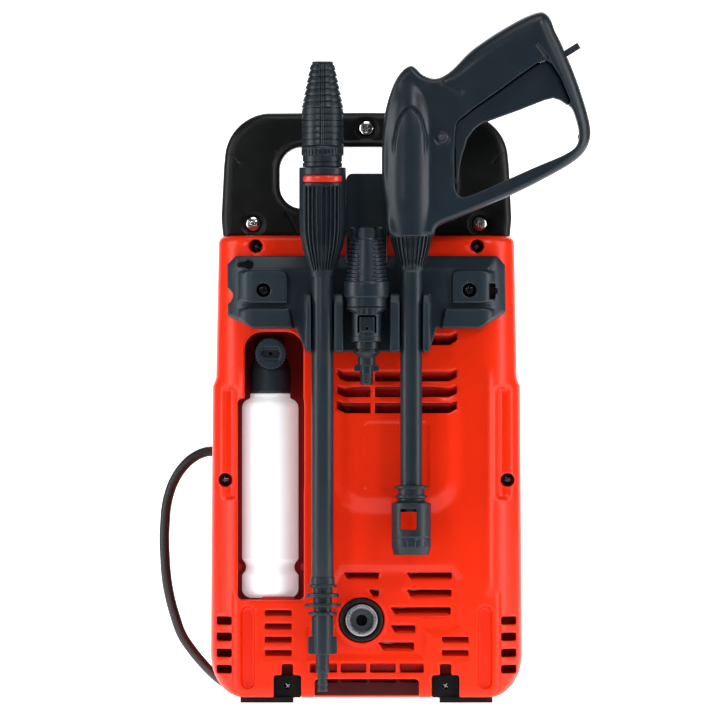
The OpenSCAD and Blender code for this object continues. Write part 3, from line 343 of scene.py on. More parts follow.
class Field:
    """A distance field on a grid in design millimetres, from which a piece's skin is taken."""

    FAR = 60.0

    def __init__(self, x, y, z, h):
        self.h = h
        self.o = np.array([x[0], y[0], z[0]], float)
        self.n = [int(math.ceil((b - a) / h)) + 1 for a, b in (x, y, z)]
        ax = [(self.o[i] + h * np.arange(self.n[i])).astype(F) for i in range(3)]
        self.x, self.y, self.z = ax[0][:, None, None], ax[1][None, :, None], ax[2][None, None, :]
        self.d = np.full(self.n, self.FAR, F)

    def window(self, lims):
        s = []
        for i, lim in enumerate(lims):
            if lim is None:
                s.append(slice(0, self.n[i]))
                continue
            a = max(0, int(math.floor((lim[0] - self.o[i]) / self.h)))
            b = min(self.n[i], int(math.ceil((lim[1] - self.o[i]) / self.h)) + 1)
            s.append(slice(a, max(a, b)))
        return tuple(s)

    def put(self, op, f, x=None, y=None, z=None, k=0.0):
        """Joins or takes away f(x, y, z) inside a window, with a fillet of k."""
        grow = k + 3 * self.h
        w = self.window([None if v is None else (v[0] - grow, v[1] + grow) for v in (x, y, z)])
        if any(s.stop <= s.start for s in w):
            return
        a = self.d[w]
        v = np.broadcast_to(f(self.x[w[0]], self.y[:, w[1]], self.z[:, :, w[2]]), a.shape)
        self.d[w] = smin(a, v, k) if op == "add" else smax(a, -v if op == "cut" else v, k)

    def add(self, f, x=None, y=None, z=None, k=0.0):
        self.put("add", f, x, y, z, k)

    def cut(self, f, x=None, y=None, z=None, k=0.0):
        self.put("cut", f, x, y, z, k)

    def clip(self, f, k=0.0):
        self.put("clip", f, k=k)

    def hole(self, px, pz, r, y, k, side=1, soft=0.0, ys=None, op="cut"):
        """A round hole along y that ends at a plane."""
        self.put(op, lambda a, b, c: smax(rod(a, c, px, pz, r), side * (b - y), soft), near(px, r), ys, near(pz, r), k)

    def block(self, xs, ys, zs, r, edge, k, op="add"):
        """A block with round corners seen along y and softened edges."""
        self.put(op, lambda a, b, c: prism(box2(a, c, *xs, *zs, r), b, *ys, edge), xs, ys, zs, k)

    def skin(self, name, node=None, mat=None, adapt=0.0, inside=()):
        """The zero surface, with its normals taken from the field so that it shades as one moulding.

        Faces that lie deeper than a given depth in another field get that entry's material; the callers give darker
        ones, painted shade in holes and recesses."""
        g = openvdb.FloatGrid(self.FAR)
        d = self.d.copy()
        for i in range(3):
            for e in (0, -1):
                s = [slice(None)] * 3
                s[i] = e
                d[tuple(s)] = np.maximum(d[tuple(s)], 0.6 * self.h)
        g.copyFromArray(d)
        pts, tris, quads = g.convertToPolygons(0.0, adapt)
        pts = np.asarray(pts, float)
        i0 = np.clip(np.floor(pts).astype(int), 0, np.array(self.n) - 2)
        fr = pts - i0

        def sample(grid):
            acc = np.zeros(len(pts))
            for c in range(8):
                o = np.array([(c >> 2) & 1, (c >> 1) & 1, c & 1])
                j = i0 + o
                acc += np.prod(np.where(o, fr, 1 - fr), axis=1) * grid[j[:, 0], j[:, 1], j[:, 2]]
            return acc

        normal = np.stack([sample(np.gradient(self.d, axis=ax)) for ax in range(3)], 1)
        normal /= np.maximum(np.linalg.norm(normal, axis=1), 1e-6)[:, None]
        co = (pts * self.h + self.o + np.array(SHIFT)) / 1000
        nt, nq = len(tris), len(quads)
        loops = np.concatenate([np.asarray(f)[:, ::-1].ravel() for f in (tris, quads)]).astype(np.int32)
        starts = np.concatenate([np.arange(nt) * 3, nt * 3 + np.arange(nq) * 4]).astype(np.int32)
        a, b, c = co[loops[:3]]
        if np.dot(np.cross(b - a, c - a), normal[loops[0]]) < 0:
            loops = np.concatenate([np.asarray(f).ravel() for f in (tris, quads)]).astype(np.int32)
        me = bpy.data.meshes.new(name)
        me.vertices.add(len(co))
        me.vertices.foreach_set("co", co.astype(F).ravel())
        me.loops.add(len(loops))
        me.loops.foreach_set("vertex_index", loops)
        me.polygons.add(nt + nq)
        me.polygons.foreach_set("loop_start", starts)
        me.polygons.foreach_set("use_smooth", np.ones(nt + nq, bool))
        me.update(calc_edges=True)
        me.validate()
        me.normals_split_custom_set_from_vertices(normal.astype(F))
        obj = show(name, me)
        me.materials.append(mat or LOOK[node])
        pick = np.zeros(nt + nq, np.int32)
        for k, (grid, depth, deep_mat) in enumerate(inside):
            me.materials.append(deep_mat)
            below = sample(np.broadcast_to(grid, self.n)) < -depth
            tri, quad = below[loops[:nt * 3]].reshape(-1, 3), below[loops[nt * 3:]].reshape(-1, 4)
            pick[np.concatenate([tri.all(1), quad.all(1)])] = k + 1
        me.polygons.foreach_set("material_index", pick)
        if node:
            stand_in(obj, node)
        return obj


# ---- mains cord
CORD_D = 7.5
ROUTE = [
    (-113.2, 38, 186), (-121, 38, 185.4), (-130.5, 38, 181), (-138, 38, 174), (-144, 38, 165), (-148, 38, 155),
    (-150.5, 38, 144), (-151.5, 38, 132), (-152, 38, 120), (-151.5, 38, 106), (-150.5, 38, 92), (-148, 39, 77),
    (-144, 41, 62), (-139, 44, 48), (-132, 49, 37), (-125, 56, 28), (-118, 66, 20), (-110.5, 78, 13),
    (-103.5, 92, 8.4), (-97, 107, 5.8), (-91.5, 124, 4.8), (-87, 142, 4.4), (-84, 160, 4.3)]
COIL = (-18.0, 178.0)
COIL_R, COIL_Z, PITCH = 65.2, 4.3, 7.56
ROWS, TURNS, STEPS = 4, 13, 16
LAST_TURN = 0.74  # the part of a turn that is left before the tail
TAIL = [(-48.5, 131.6, 30.2), (-60.5, 135.8, 35.4), (-69.0, 143.0, 39.8), (-71.8, 151.5, 41.9), (-72, 158, 42.2)]


def cord_points():
    """Down the flank, back along the floor, round the coil row by row, and up into the plug."""
    pts = list(ROUTE)
    for turn in range(TURNS + 1):
        row, k = divmod(turn, ROWS)
        inward = row % 2 == 0
        r0 = COIL_R - PITCH * (k if inward else ROWS - k)
        step = -PITCH if inward else PITCH
        for s in range(STEPS if turn < TURNS else int(STEPS * LAST_TURN)):
            t = s / STEPS
            r = r0 + step * float(ease((t - 0.35) / 0.3))
            z = COIL_Z + PITCH * row + (PITCH * float(ease((t - 0.68) / 0.32)) if k == ROWS - 1 else 0)
            ang = math.radians(180 - 360 * t)
            pts.append((COIL[0] + r * math.cos(ang), COIL[1] + r * math.sin(ang), z))
    return pts + TAIL


route = cord_points()
cu = bpy.data.curves.new("mains_cord", "CURVE")
cu.dimensions = "3D"
cu.bevel_depth = CORD_D / 2000
cu.bevel_resolution = 4
cu.resolution_u = 4
cu.use_fill_caps = True
sp = cu.splines.new("BEZIER")
sp.bezier_points.add(len(route) - 1)
for p, q in zip(sp.bezier_points, route):
    p.co = place(*q)
    p.handle_left_type = p.handle_right_type = "AUTO"
cord_obj = show("mains_cord", cu)
cu.materials.append(CORD)

# ---- studio
world = bpy.data.worlds.new("studio")
SCENE.world = world
world.use_nodes = True
world.node_tree.nodes["Background"].inputs[0].default_value = (1, 1, 1, 1)
world.node_tree.nodes["Background"].inputs[1].default_value = 0.07
SCENE.view_settings.view_transform = "Standard"
SCENE.view_settings.look = "None"

for name, at, aim, size, power in (
        ("softbox_left", (-1.4, -0.45, 0.45), (-0.05, 0, 0.25), (0.6, 1.4), 12),
        ("softbox_right", (1.4, -0.45, 0.45), (0.0, 0, 0.25), (0.6, 1.4), 12),
        ("softbox_top", (0, -0.6, 1.6), (0, 0, 0.2), (1.0, 0.5), 5),
        ("fill_right", (1.3, -2.1, 1.7), (0, 0, 0.22), (0.5, 0.5), 19),
        ("fill_left", (-1.2, -2.4, 1.0), (0, 0, 0.22), (0.4, 0.4), 10),
        ("back_rim", (0.3, 1.6, 1.2), (0, 0.1, 0.2), (1.2, 0.8), 8)):
    lamp = bpy.data.lights.new(name, "AREA")
    lamp.shape = "RECTANGLE"
    lamp.size, lamp.size_y = size
    lamp.energy = power
    lamp_obj = show(name, lamp)
    lamp_obj.location = at
    lamp_obj.rotation_euler = (Vector(aim) - Vector(at)).to_track_quat("-Z", "Y").to_euler()

floor_mat = Nodes("floor")
floor_mat.link(floor_mat.mix(floor_mat.ramp(floor_mat.noise(3, 3), 0, 1), lin("FCFCFC"), lin("F7F7F7")),
               floor_mat.bsdf.inputs["Base Color"])
floor_mat.set({"Roughness": 0.55, "Emission Color": (1, 1, 1, 1), "Emission Strength": 1.0})
# a floor that curves up into a back wall
SWEEP_Y, SWEEP_R, FLOOR_HALF = 1.4, 1.0, 1.6
prof = [(-0.55, 0.0), (SWEEP_Y, 0.0)]
prof += [(SWEEP_Y + SWEEP_R * math.sin(math.radians(a)), SWEEP_R - SWEEP_R * math.cos(math.radians(a)))
         for a in range(8, 91, 8)] + [(SWEEP_Y + SWEEP_R, 5.0)]
me = bpy.data.meshes.new("floor")
me.from_pydata([(x, y, z) for y, z in prof for x in (-FLOOR_HALF, FLOOR_HALF)], [],
               [(2 * i, 2 * i + 1, 2 * i + 3, 2 * i + 2) for i in range(len(prof) - 1)])
me.polygons.foreach_set("use_smooth", [True] * len(me.polygons))
me.materials.append(floor_mat.mat)
floor_obj = show("floor", me)


# ---- rear cover
def arc(cx, cz, rx, rz, a0, a1, n):
    return [(cx + rx * math.cos(math.radians(a0 + (a1 - a0) * i / n)),
             cz + rz * math.sin(math.radians(a0 + (a1 - a0) * i / n))) for i in range(n + 1)]


def mirrored(right):
    return right + [(-x, z) for x, z in reversed(right)]


BODY_OUTLINE = mirrored(arc(92, 36, 24, 32, -90, 0, 10) + [(114.5, 235), (112, 241)] + arc(104, 341, 6, 6, 0, 90, 6))


def rear_cover():
    f = Field((-118, 118), (-91.2, -18), (1, 349.5), 0.8)
    x, y, z = f.x, f.y, f.z
    ax = np.abs(x)
    body = poly2(x, z, BODY_OUTLINE)

    # low relief of the rear face, in millimetres of height
    relief = np.zeros((f.n[0], 1, f.n[2]), F)
    boss = box2(x, z, -14, 58, 154, 226, 14)
    relief = relief + 4.0 * (1 - ease(np.maximum(boss, 0) / 15))
    label = box2(x, z, -2.2, 46.3, 158.4, 208, 3)
    relief = relief - 0.7 * (1 - ease((label + 0.8) / 1.2))
    well = poly2(x, z, [(-18, 100), (64, 100), (70, 92), (70, 57), (62, 53), (44, 53), (42, 34), (-42, 34), (-42, 55),
                        (-26, 58), (-24, 90)])
    relief = relief - 2.4 * (1 - ease((well + 4) / 7))
    for s in (-1, 1):
        rib = np.abs(x - s * 90.6) / 2.6
        along = ease((z - 76) / 14) * (1 - ease((z - 238) / 16))
        relief = relief + 1.8 * np.exp(-rib ** 2) * along
        groove = box2(x, z, s * 98.4 - 0.7, s * 98.4 + 0.7, 10, 82, 0.6)
        relief = relief - 1.6 * (1 - ease((groove + 0.3) / 0.9))
    chamfer = (ax - y - 181) * F(0.7071)
    base = smax(smax(body, -(y - REAR_Y + relief), 7), chamfer, 9)
    recess = smin(prism(box2(x, z, -95.6, -46.5, 76.6, 226, 3.5), y, -110, -37, 2),
                  prism(box2(x, z, -90.3, -46.9, 150, 275.3, 13), y, -110, -37, 2), 2)
    pockets = np.minimum(*(smin(prism(box2(x, z, *near(s * FOOT_X, 10.2), -6, 20.7, 2), y, -95, -62, 0.5),
                                prism(box2(x, z, *near(s * FOOT_X, 4.1), 10, 28.9, 1), y, -95, -62, 0.5), 0.8)
                           for s in (-1, 1)))
    sole = prism(box2(x, z, -38.5, 38.9, -6, 17.8, 3), y, -95, -71, 1)
    waist = smax(smax(152 - z, z - 234, 4), smax(97 - ax, y + 74, 3), 4)
    waist = np.maximum(waist, -(chamfer + 4.5))
    deep = np.minimum(np.minimum(recess, pockets), sole)
    inner = np.maximum(np.maximum(base + WALL, -(deep - WALL)), -(waist - WALL))
    f.outer = np.maximum(base, -waist)
    f.d[:] = base
    f.clip(lambda a, b, c: b - SPLIT_Y)
    f.d = np.maximum(f.d, -inner)
    f.d = smax(f.d, -waist, 3)
    f.cut(lambda a, b, c: recess, k=1.6)
    # ribs that hold the bottle's waist
    for xs in ((-97, -92.9), (-49.2, -45)):
        f.block(xs, (-62, -38), (98, 103), 0.8, 0.5, 0.8)
    f.cut(lambda a, b, c: pockets, k=1.0)
    f.cut(lambda a, b, c: sole, k=1.2)

    # louvred vents: the wall is thicker behind them, and each slot slants on its way in
    for zone in ((-25, 70, 203, 255), (-24, 70, 258, 278), (-21, 67, 33, 105), (-78.5, -53, 31.5, 79),
                 (53, 79, 31.5, 60), (-45, 46, 21, 33), (-95, -81, 8, 74), (81, 95, 8, 74)):
        f.add(lambda a, b, c: np.maximum(box2(a, c, *zone, 2), np.abs(b + 78.5) - 4.5), zone[:2], (-83, -74), zone[2:])
    f.hole(PX, OZ, 19.3, -82.1, 0, side=-1, ys=(-82, -70))

    def slot(pts, gap=-2.2, high=None, way=1, skin_y=REAR_Y):
        """A slot that slants by its own height less the gap on its way in."""
        xs, zs = zip(*pts)
        fall = way * ((high or max(zs) - min(zs)) - gap) / 11.0
        f.cut(lambda a, b, c: smax(poly2(a, c + fall * np.clip(b - skin_y, 0, 12), pts), np.abs(b + 82) - 13, 0),
              (min(xs), max(xs)), (-93, -72), (min(zs) - 14, max(zs) + 14), 0.5)

    def bar(x0, x1, z0, z1, lean=0):
        return [(x0 + lean, z0), (x1, z0), (x1, z1), (x0, z1)]

    for z0 in (215.2, 227.2, 239.2):
        z1 = z0 + 7.5
        slot([(-15.6, z0), (3, z0), (3, z1), (-17.1, z1), (-21.7, z1 + 2), (-21.7, z0 + 3.2)], high=7.5)
        slot([(6.2, z0), (61, z0), (67, z0 + 3.2), (67, z1 + 2), (62, z1), (6.2, z1)], high=7.5)
    slot([(-21, 266.3), (61, 266.3), (67, 269.5), (67, 275.8), (62, 273.8), (-21, 273.8)], high=7.5)
    for line in ((-17.4, 9.2, 91.5, 96.6, 3), (29.5, 63.4, 91.5, 96.6, 3), (1.1, 9.2, 78.4, 84, 4),
                 (29.5, 63, 78.4, 84, 3), (17.7, 62.5, 65.2, 70.7, 3), (17.7, 36.1, 52, 57.5, 3),
                 (8.2, 35.2, 38.8, 44.8, 4)):
        slot(bar(*line), -1.2, way=-1, skin_y=-82.4)
    for x0, x1, count in ((-75.4, -55.4, 4), (55.9, 75.7, 2)):
        for k in range(count):
            slot(bar(x0, x1, 34.8 + 9.9 * k, 39.2 + 9.9 * k), -4, way=-1, skin_y=-83.8)
    for x0, x1 in ((-41.8, -21.8), (-19.2, -0.1), (2.6, 21.8), (24.6, 42.6)):
        slot(bar(x0, x1, 22.9, 30), 0.5)
    for s in (-1, 1):
        xs = near(s * 105.5, 5.5)
        for z0 in (22, 34, 46, 58):
            f.cut(lambda a, b, c: smax(box2(a, c, *xs, z0, z0 + 6, 1), b + 58, 0), xs, (-93, -56), (z0, z0 + 6), 0.8)
        f.block(near(s * 88, 5.2), (-95, -79.5), (10.4, 71.8), 5.2, 2.5, 0.9, "cut")
        f.outer = np.maximum(f.outer, -prism(box2(x, z, *near(s * 88, 6), 9.6, 72.6, 5.2), y, -95, -78))
    # hose outlet and screws
    f.hole(PX, OZ, 18.4, -86.3, 1.5, side=-1, soft=1.5, ys=(-88, -80), op="add")
    f.cut(lambda a, b, c: rod(a, c, PX, OZ, 16.6), near(PX, 17), None, near(OZ, 17), 0.8)
    for px, pz in COVER_SCREWS:
        f.hole(px, pz, 5, -61, 0.7, soft=0.5, ys=(-92, -61))
    return f


field = rear_cover()
# faces deep in the recesses and vents get the painted shade, and below 21.5 mm the deeper painted shade
field.skin("rear_cover_skin", "rear_cover", adapt=0.01, inside=[
    (field.outer, 1.3, RED_PAINTED_SHADE), (np.where(field.z < 21.5, field.outer, 1), 1.3, RED_PAINTED_DEEP_SHADE)])


# ---- carry handle
def handle(side):
    f = Field((-111, 111), (-69, -23), (325, 441), 0.8)
    x, y, z = f.x, f.y, f.z
    pts = [(106.5, 343), (108, 360), (106, 400)] + arc(70.5, 403.5, 35, 35, 0, 84, 12) + [(0, 438.9)]
    f.d[:] = prism(poly2(x, z, pts + [(-a, b) for a, b in reversed(pts[:-1])]), y, -66, -26, 7)
    f.clip(lambda a, b, c: 346.5 - c, 0.5)
    f.d = smin(f.d, prism(box2(x, z, -68.6, 68.6, 363.3, 417.2, 21), y, -67.2, -24.8, 1.6), 1.6)
    f.d = smax(f.d, -prism(box2(x, z, -64.6, 64.6, 367.3, 413.2, 17), y, -80, -10), 1.8)
    for s in (-1, 1):
        f.add(lambda a, b, c: smax(box2(a, b, *near(s * 86, 12), -58, -34, 1.5), np.abs(c - 338) - 12, 1),
              near(s * 86, 13), (-59, -33), (326, 350), 0.5)
        f.cut(lambda a, b, c: rod(a, c, s * 82, 339, 7.3), near(s * 82, 8), None, near(339, 8))
        # a shallow line where each corner is bent
        f.cut(lambda a, b, c: seg(a, c, s * 93.6, 401, s * 103, 411) - 0.35 + 0.9 * np.maximum(b + 65.2, 0),
              near(s * 98, 6), (-68, -64), (400, 412), 0.7)
    # the screws' dished seats
    for px, pz in HANDLE_SCREWS:
        for yy, sg in ((-66, 1), (-26, -1)):
            if pz > 400 and sg < 0:
                continue
            f.cut(lambda a, b, c: smax(rod(a, c, px, pz, 8.4), sg * (b - yy) - 0.9, 1.2), near(px, 9), near(yy, 4),
                  near(pz, 9), 1.6)
        f.hole(px, pz, 6.2, -62, 0.7, soft=0.3, ys=(-69, -61))
    f.cut(lambda a, b, c: seg(a, c, -60.3, 365.6, -51.7, 349.3) - 0.3 + 0.9 * np.maximum(b + 65.4, 0), (-61, -51),
          (-68, -64), (349, 366), 0.6)
    # the two halves meet on the middle plane, with a fine open seam
    f.d = smax(f.d, -side * (y - HANDLE_Y) + 0.18, 0.7)
    return f


handle(-1).skin("handle_rear_skin", "handle_rear_shell", adapt=0.01)
handle(1).skin("handle_front_skin", "handle_front_shell", adapt=0.01)


# ---- accessory bracket
def bracket():
    f = Field((-106.5, 106.5), (-121, -76), (259, 395), 0.6)
    x, y, z = f.x, f.y, f.z
    face = poly2(x, z, [(-97, 331.9), (97, 331.9), (103, 325), (104, 290), (84.5, 278), (52, 278), (46.5, 260.5),
                        (-44.8, 260.5), (-52.5, 278), (-84, 278), (-103, 287), (-104, 325)])
    f.d[:] = smax(face, -(y + 93), 1.6)
    f.clip(lambda a, b, c: b + 77)

    def fold(at_x, at_y, k):
        """The ends lean back round the body."""
        for s in (-1, 1):
            f.d = smax(f.d, s * x * 0.74 - y * 0.67 - (at_x * 0.74 + at_y * 0.67), k)

    fold(94, 93, 5)
    # the top edge leans back too
    f.clip(lambda a, b, c: (c * 0.5 - b * 0.866) - (322 * 0.5 + 93 * 0.866), 0.8)
    f.d = np.maximum(f.d, -smax(smax(np.abs(x) - 96, -(y + 85), 0), y + 70, 0))
    # tongue over the body's top edge
    f.block((-15.2, 15.2), (-92, -86), (325, 393), 5, 0.8, 1.5)
    # raised blocks, each with a slanting corner
    for x0, x1, s, off, k in ((63.5, 120, -1, 45.6, 3), (-120, -58.4, 1, 42.5, 5)):
        f.add(lambda a, b, c: prism(smax(box2(a, c, x0, x1, 297, 321, 0.5), s * a * 0.7 + (c - 321) * 0.7 + off, k), b,
                                    -99, -90, 1.2), (x0, x1), (-100, -90), (296, 322), 1.4)
    for pts in ([(55.5, 278.4), (83.5, 278.4), (99, 287), (99, 293), (58.6, 293)],
                [(-84.5, 278.4), (-54.4, 278.4), (-57.5, 293), (-99, 293), (-99, 287)]):
        f.add(lambda a, b, c: prism(poly2(a, c, pts), b, -97.5, -90, 1.0), (-100, 100), (-98, -90), (278, 293), 1.2)
    fold(88.5, 99, 4)
    for s in (-1, 1):
        f.d = smax(f.d, s * x - 104, 1)
    f.clip(lambda a, b, c: 260.2 - c, 0.6)
    # guides for the gun's and the lance's tubes
    for xs in ((-45.0, -41.1), (-23.9, -17.2), (17.3, 24.5), (41.7, 46.8)):
        f.add(lambda a, b, c: smax(smax(box2(a, c, *xs, 260.5, 303.4, 1.4), -(b + 118.6), 1.6),
                                   (c * 0.6 - b * 0.8) - (303.4 * 0.6 + 113.5 * 0.8), 1.0), xs, (-119, -90),
              (260, 304), 1.2)
    f.clip(lambda a, b, c: b + 76.5)
    r = 8.55
    for cx in (LX, GX):
        f.cut(lambda a, b, c: smin(rod(a, b, cx, AY, r), smax(np.abs(a - cx) - r, b - AY, 0), 0), near(cx, 9),
              (-122, -102))
    # screws, keyhole, T slot and notch
    f.outer = f.d.copy()
    for px, pz in BRACKET_SCREWS:
        f.hole(px, pz, 5.1, -93, 0.9, soft=0.4, ys=(-101, -92))
    tail = [(-87, 323.2), (-99.5, 324.0), (-99.5, 326.6), (-87, 327.4)]
    f.cut(lambda a, b, c: smax(np.minimum(rod(a, c, -87.1, 325.3, 3.4), poly2(a, c, tail)), b + 88.5, 0), (-100, -83),
          (-97, -86), (321, 330), 0.3)
    stem = [(94, 303.6), (102.4, 304.6), (102.4, 307.3), (94, 308.3)]
    f.cut(lambda a, b, c: smax(np.minimum(box2(a, c, 91, 95.4, 299.7, 311.5, 0.4), poly2(a, c, stem)), b + 87, 0),
          (90, 103), (-101, -80), (299, 312), 0.3)
    notch = [(-106, 295.5), (-101.5, 297), (-99, 301), (-99, 303.5), (-101.5, 307), (-106, 308.5)]
    f.cut(lambda a, b, c: poly2(a, c, notch), (-107, -98), None, (295, 309), 0.6)
    return f


field = bracket()
# faces deep in the screw holes, keyhole, T slot and notch are painted near black, painted shade
field.skin("accessory_bracket_skin", "accessory_bracket", adapt=0.01, inside=[(field.outer, 0.5, HOLE_PAINTED_SHADE)])


# ---- trigger gun
def spline(pts, steps=4):
    """A smooth closed line through the points."""
    n = len(pts)
    out = []
    for i in range(n):
        p, q, r, w = (np.array(pts[(i + k) % n], float) for k in (-1, 0, 1, 2))
        for t in np.arange(steps) / steps:
            out.append(tuple((2 * q + (r - p) * t + (2 * p - 5 * q + 4 * r - w) * t * t
                              + (3 * q - p - 3 * r + w) * t ** 3) / 2))
    return out


GUN_OUT = spline([
    (33, 472.5), (23, 464), (16, 447), (12.5, 428), (11.2, 396), (14, 368), (17, 347), (33, 346), (49, 346.5),
    (53, 353.5), (72, 361.5), (108, 377), (133, 389.5), (155, 402.5), (164.5, 415), (164.8, 431),
    (155, 463), (141, 496), (133, 511), (122, 510.5), (100, 499), (78, 484), (63, 469), (52, 463), (42, 465.5)])
GUN_LOOP = spline([
    (90, 431), (137, 448.5), (149, 443.5), (154, 436), (157.2, 420), (151, 409), (122, 396), (80, 377.5),
    (68, 376.5), (65, 390), (68.5, 414), (78, 425.5)])
GUN_ARCH = spline([
    (20.1, 405), (21.5, 420), (25.5, 434), (32.4, 441), (39, 435), (42.5, 424), (43.6, 414), (42, 380), (40, 344),
    (24, 344), (20, 380)])
LEVER = [
    (67.4, 430.7), (80.7, 441.3), (96.7, 452.5), (112.6, 464.2), (126.4, 473.8), (132.8, 475.9), (137.1, 472.7),
    (143.4, 462.6), (150.4, 446.2), (148.8, 442.9), (143.4, 446.7), (138.1, 448.3), (131.7, 446.7), (112.6, 439.2),
    (90.3, 431.2), (85, 429.7), (79.6, 425.4), (74.3, 418), (71.1, 407.3), (69, 397.8), (67.6, 387), (66.4, 384),
    (65.6, 388.2), (65.3, 403.1), (65.4, 418), (66.2, 427.5)]
LEVER_ARM = [(60, 411), (50, 411), (48, 419), (53, 427), (63, 429), (72, 433), (72, 411)]


def turn_about(p, c, deg):
    """A point turned about another, its far side rising."""
    a = math.radians(deg)
    dx, dz = p[0] - c[0], p[1] - c[1]
    return (c[0] + dx * math.cos(a) - dz * math.sin(a), c[1] + dx * math.sin(a) + dz * math.cos(a))


def gun(side):
    f = Field((8, 170), (-133, -89), (343, 515), 0.7)
    x, y, z = f.x, f.y, f.z
    out = poly2(x, z, GUN_OUT)
    into = np.maximum(-out, 0)
    # half thickness: a plain web, a fuller grip above and a rounded rim at the far side
    ridge = ease((x * 0.55 - z * -0.83 - 400.0) / 46)
    roll = 5.0 + 6.0 * ridge
    h = 12.4 + 2.6 * ridge - roll + np.sqrt(np.maximum(roll ** 2 - (roll - np.minimum(into, roll)) ** 2, 0))
    xc = 31.0 + 1.6 * ease((380 - z) / 40)
    rb = 19.2 - 3.4 * ease((375 - z) / 32) - 16 * np.clip((z - 424) / 50, 0, 1) ** 2.2
    bulge = np.sqrt(np.maximum(rb ** 2 - (x - xc) ** 2, 0)) * 1.02
    h = smax(h, np.where(np.abs(x - xc) < rb, bulge, 0), 2.2)
    # the barrel's sleeve stands out of the pointed arch
    arch = poly2(x, z, GUN_ARCH)
    h = h + 0.7 * (1 - ease((arch + 1.2) / 1.2)) * ease((z - 396) / 30)
    h = h - 1.5 * np.exp(-((arch - 0.2) / 0.75) ** 2) * ease((z - 402) / 14)
    # soft crease under the grip, the panel line beside the trigger and its pivot
    for deep, line, wide in ((0.9, (57.3, 459.6, 69, 454), 3.0), (1.2, (126.4, 488, 134, 478.5), 0.8),
                             (1.2, (134, 478.5, 150.9, 446), 0.8)):
        h = h - deep * np.exp(-(seg(x, z, *line) / wide) ** 2)
    pin = np.hypot(x - PIVOT[0], z - PIVOT[1])
    h = h - 0.7 * np.exp(-((pin - 4.9) / 0.9) ** 2) + 0.8 * (1 - ease((pin - 3.6) / 0.9))
    f.d[:] = smax(out, np.abs(y - AY) - h, 1.2)
    f.d = smax(f.d, -poly2(x, z, GUN_LOOP), 1.4)
    lever = poly2(x, z, LEVER)
    swing = lever
    for part, turns in ((LEVER, PULLS[1:]), (LEVER_ARM, (0, 4, 8.4))):
        for t in turns:
            swing = np.minimum(swing, poly2(x, z, [turn_about(p, PIVOT, t) for p in part]))
    f.d = np.maximum(f.d, -np.maximum(swing - 1.7, np.abs(y - AY) - 9.9))
    f.cut(lambda a, b, c: np.maximum(lever - 0.4, np.abs(b - AY) - 25), k=0.4)
    f.cut(lambda a, b, c: rod(a, b, GX, AY, 9.9), (22, 44), None, (343, 432))

    def along(a, c, at, tilt):
        """Distances along and across a line that leans from the upright by tilt."""
        u = (a - at[0]) * math.sin(tilt) + (c - at[1]) * math.cos(tilt)
        return u, (a - at[0]) * math.cos(tilt) - (c - at[1]) * math.sin(tilt)

    # outlet of the hose and the slot of the release tab
    def hose(a, b, c):
        u, v = along(a, c, HOSE, HOSE_TILT)
        return smax(rod(v, b, 0, AY, 7.1), -u - HOSE_DEEP, 0)

    def tab(a, b, c):
        u, v = along(a, c, (147, 481), math.radians(58))
        return np.maximum(np.maximum(np.abs(v) - 2.9, np.abs(b - AY) - 5.5), -u - 8)

    f.cut(hose, (115, 160), (-119, -103), (480, 515), 0.9)
    f.cut(tab, (135, 165), (-117, -105), (470, 495), 0.4)
    f.d = smax(f.d, -side * (y - AY) + 0.15, 0.6)
    return f


gun(-1).skin("gun_rear_skin", "gun_rear_shell", adapt=0.01)
gun(1).skin("gun_front_skin", "gun_front_shell", adapt=0.01)


def lever():
    f = Field((44, 153), (-122, -100), (381, 479), 0.6)
    x, y, z = f.x, f.y, f.z
    shape = poly2(x, z, LEVER)
    f.d[:] = prism(smin(shape, poly2(x, z, LEVER_ARM), 2), y, AY - 9.4, AY + 9.4, 1.6)
    # a lip behind the seam closes it
    lip = np.maximum(shape - 1.1, 0.4 - poly2(x, z, GUN_LOOP))
    f.d = smin(f.d, prism(lip, y, AY - 6, AY + 6, 0.5), 0.3)
    f.cut(lambda a, b, c: rod(a, c, *PIVOT, 2.55), (52, 60), None, (415, 423), 0.3)

    # room for the hose inlet, which comes nearer as the trigger is pulled
    def inlet(a, b, c):
        d = Field.FAR
        for t in PULLS:
            (x0, z0), (x1, z1) = (turn_about(q, PIVOT, -t) for q in ((118.3, 486.2), HOSE))
            ux, uz = (x1 - x0) / HOSE_DEEP, (z1 - z0) / HOSE_DEEP
            u = (a - x0) * ux + (c - z0) * uz
            v = (a - x0) * uz - (c - z0) * ux
            d = np.minimum(d, np.maximum(rod(v, b, 0, AY, 7.6), -u))
        return d
    f.cut(inlet)
    return f


lever().skin("gun_trigger_skin", "gun_trigger", adapt=0.01)


# ---- turned pieces
def soften(pts, r, n=3):
    """Rounds the corners of a profile so that its edges catch light."""
    out = [pts[0]]
    for a, b, c in zip(pts, pts[1:], pts[2:]):
        la, lc = math.dist(a, b), math.dist(b, c)
        if la < 1e-6 or lc < 1e-6:
            continue
        k = min(r, la * 0.45, lc * 0.45)
        p = (b[0] + (a[0] - b[0]) * k / la, b[1] + (a[1] - b[1]) * k / la)
        q = (b[0] + (c[0] - b[0]) * k / lc, b[1] + (c[1] - b[1]) * k / lc)
        for i in range(n + 1):
            t = i / n
            out.append(tuple((1 - t) ** 2 * p[j] + 2 * t * (1 - t) * b[j] + t * t * q[j] for j in (0, 1)))
    return out + [pts[-1]]


def dense(pts, step):
    """Adds points along straight stretches, where a rib or a groove has to be cut into them."""
    out = [pts[0]]
    for a, b in zip(pts, pts[1:]):
        n = max(1, int(math.dist(a, b) / step))
        out += [tuple(a[j] + (b[j] - a[j]) * i / n for j in (0, 1)) for i in range(1, n + 1)]
    return out


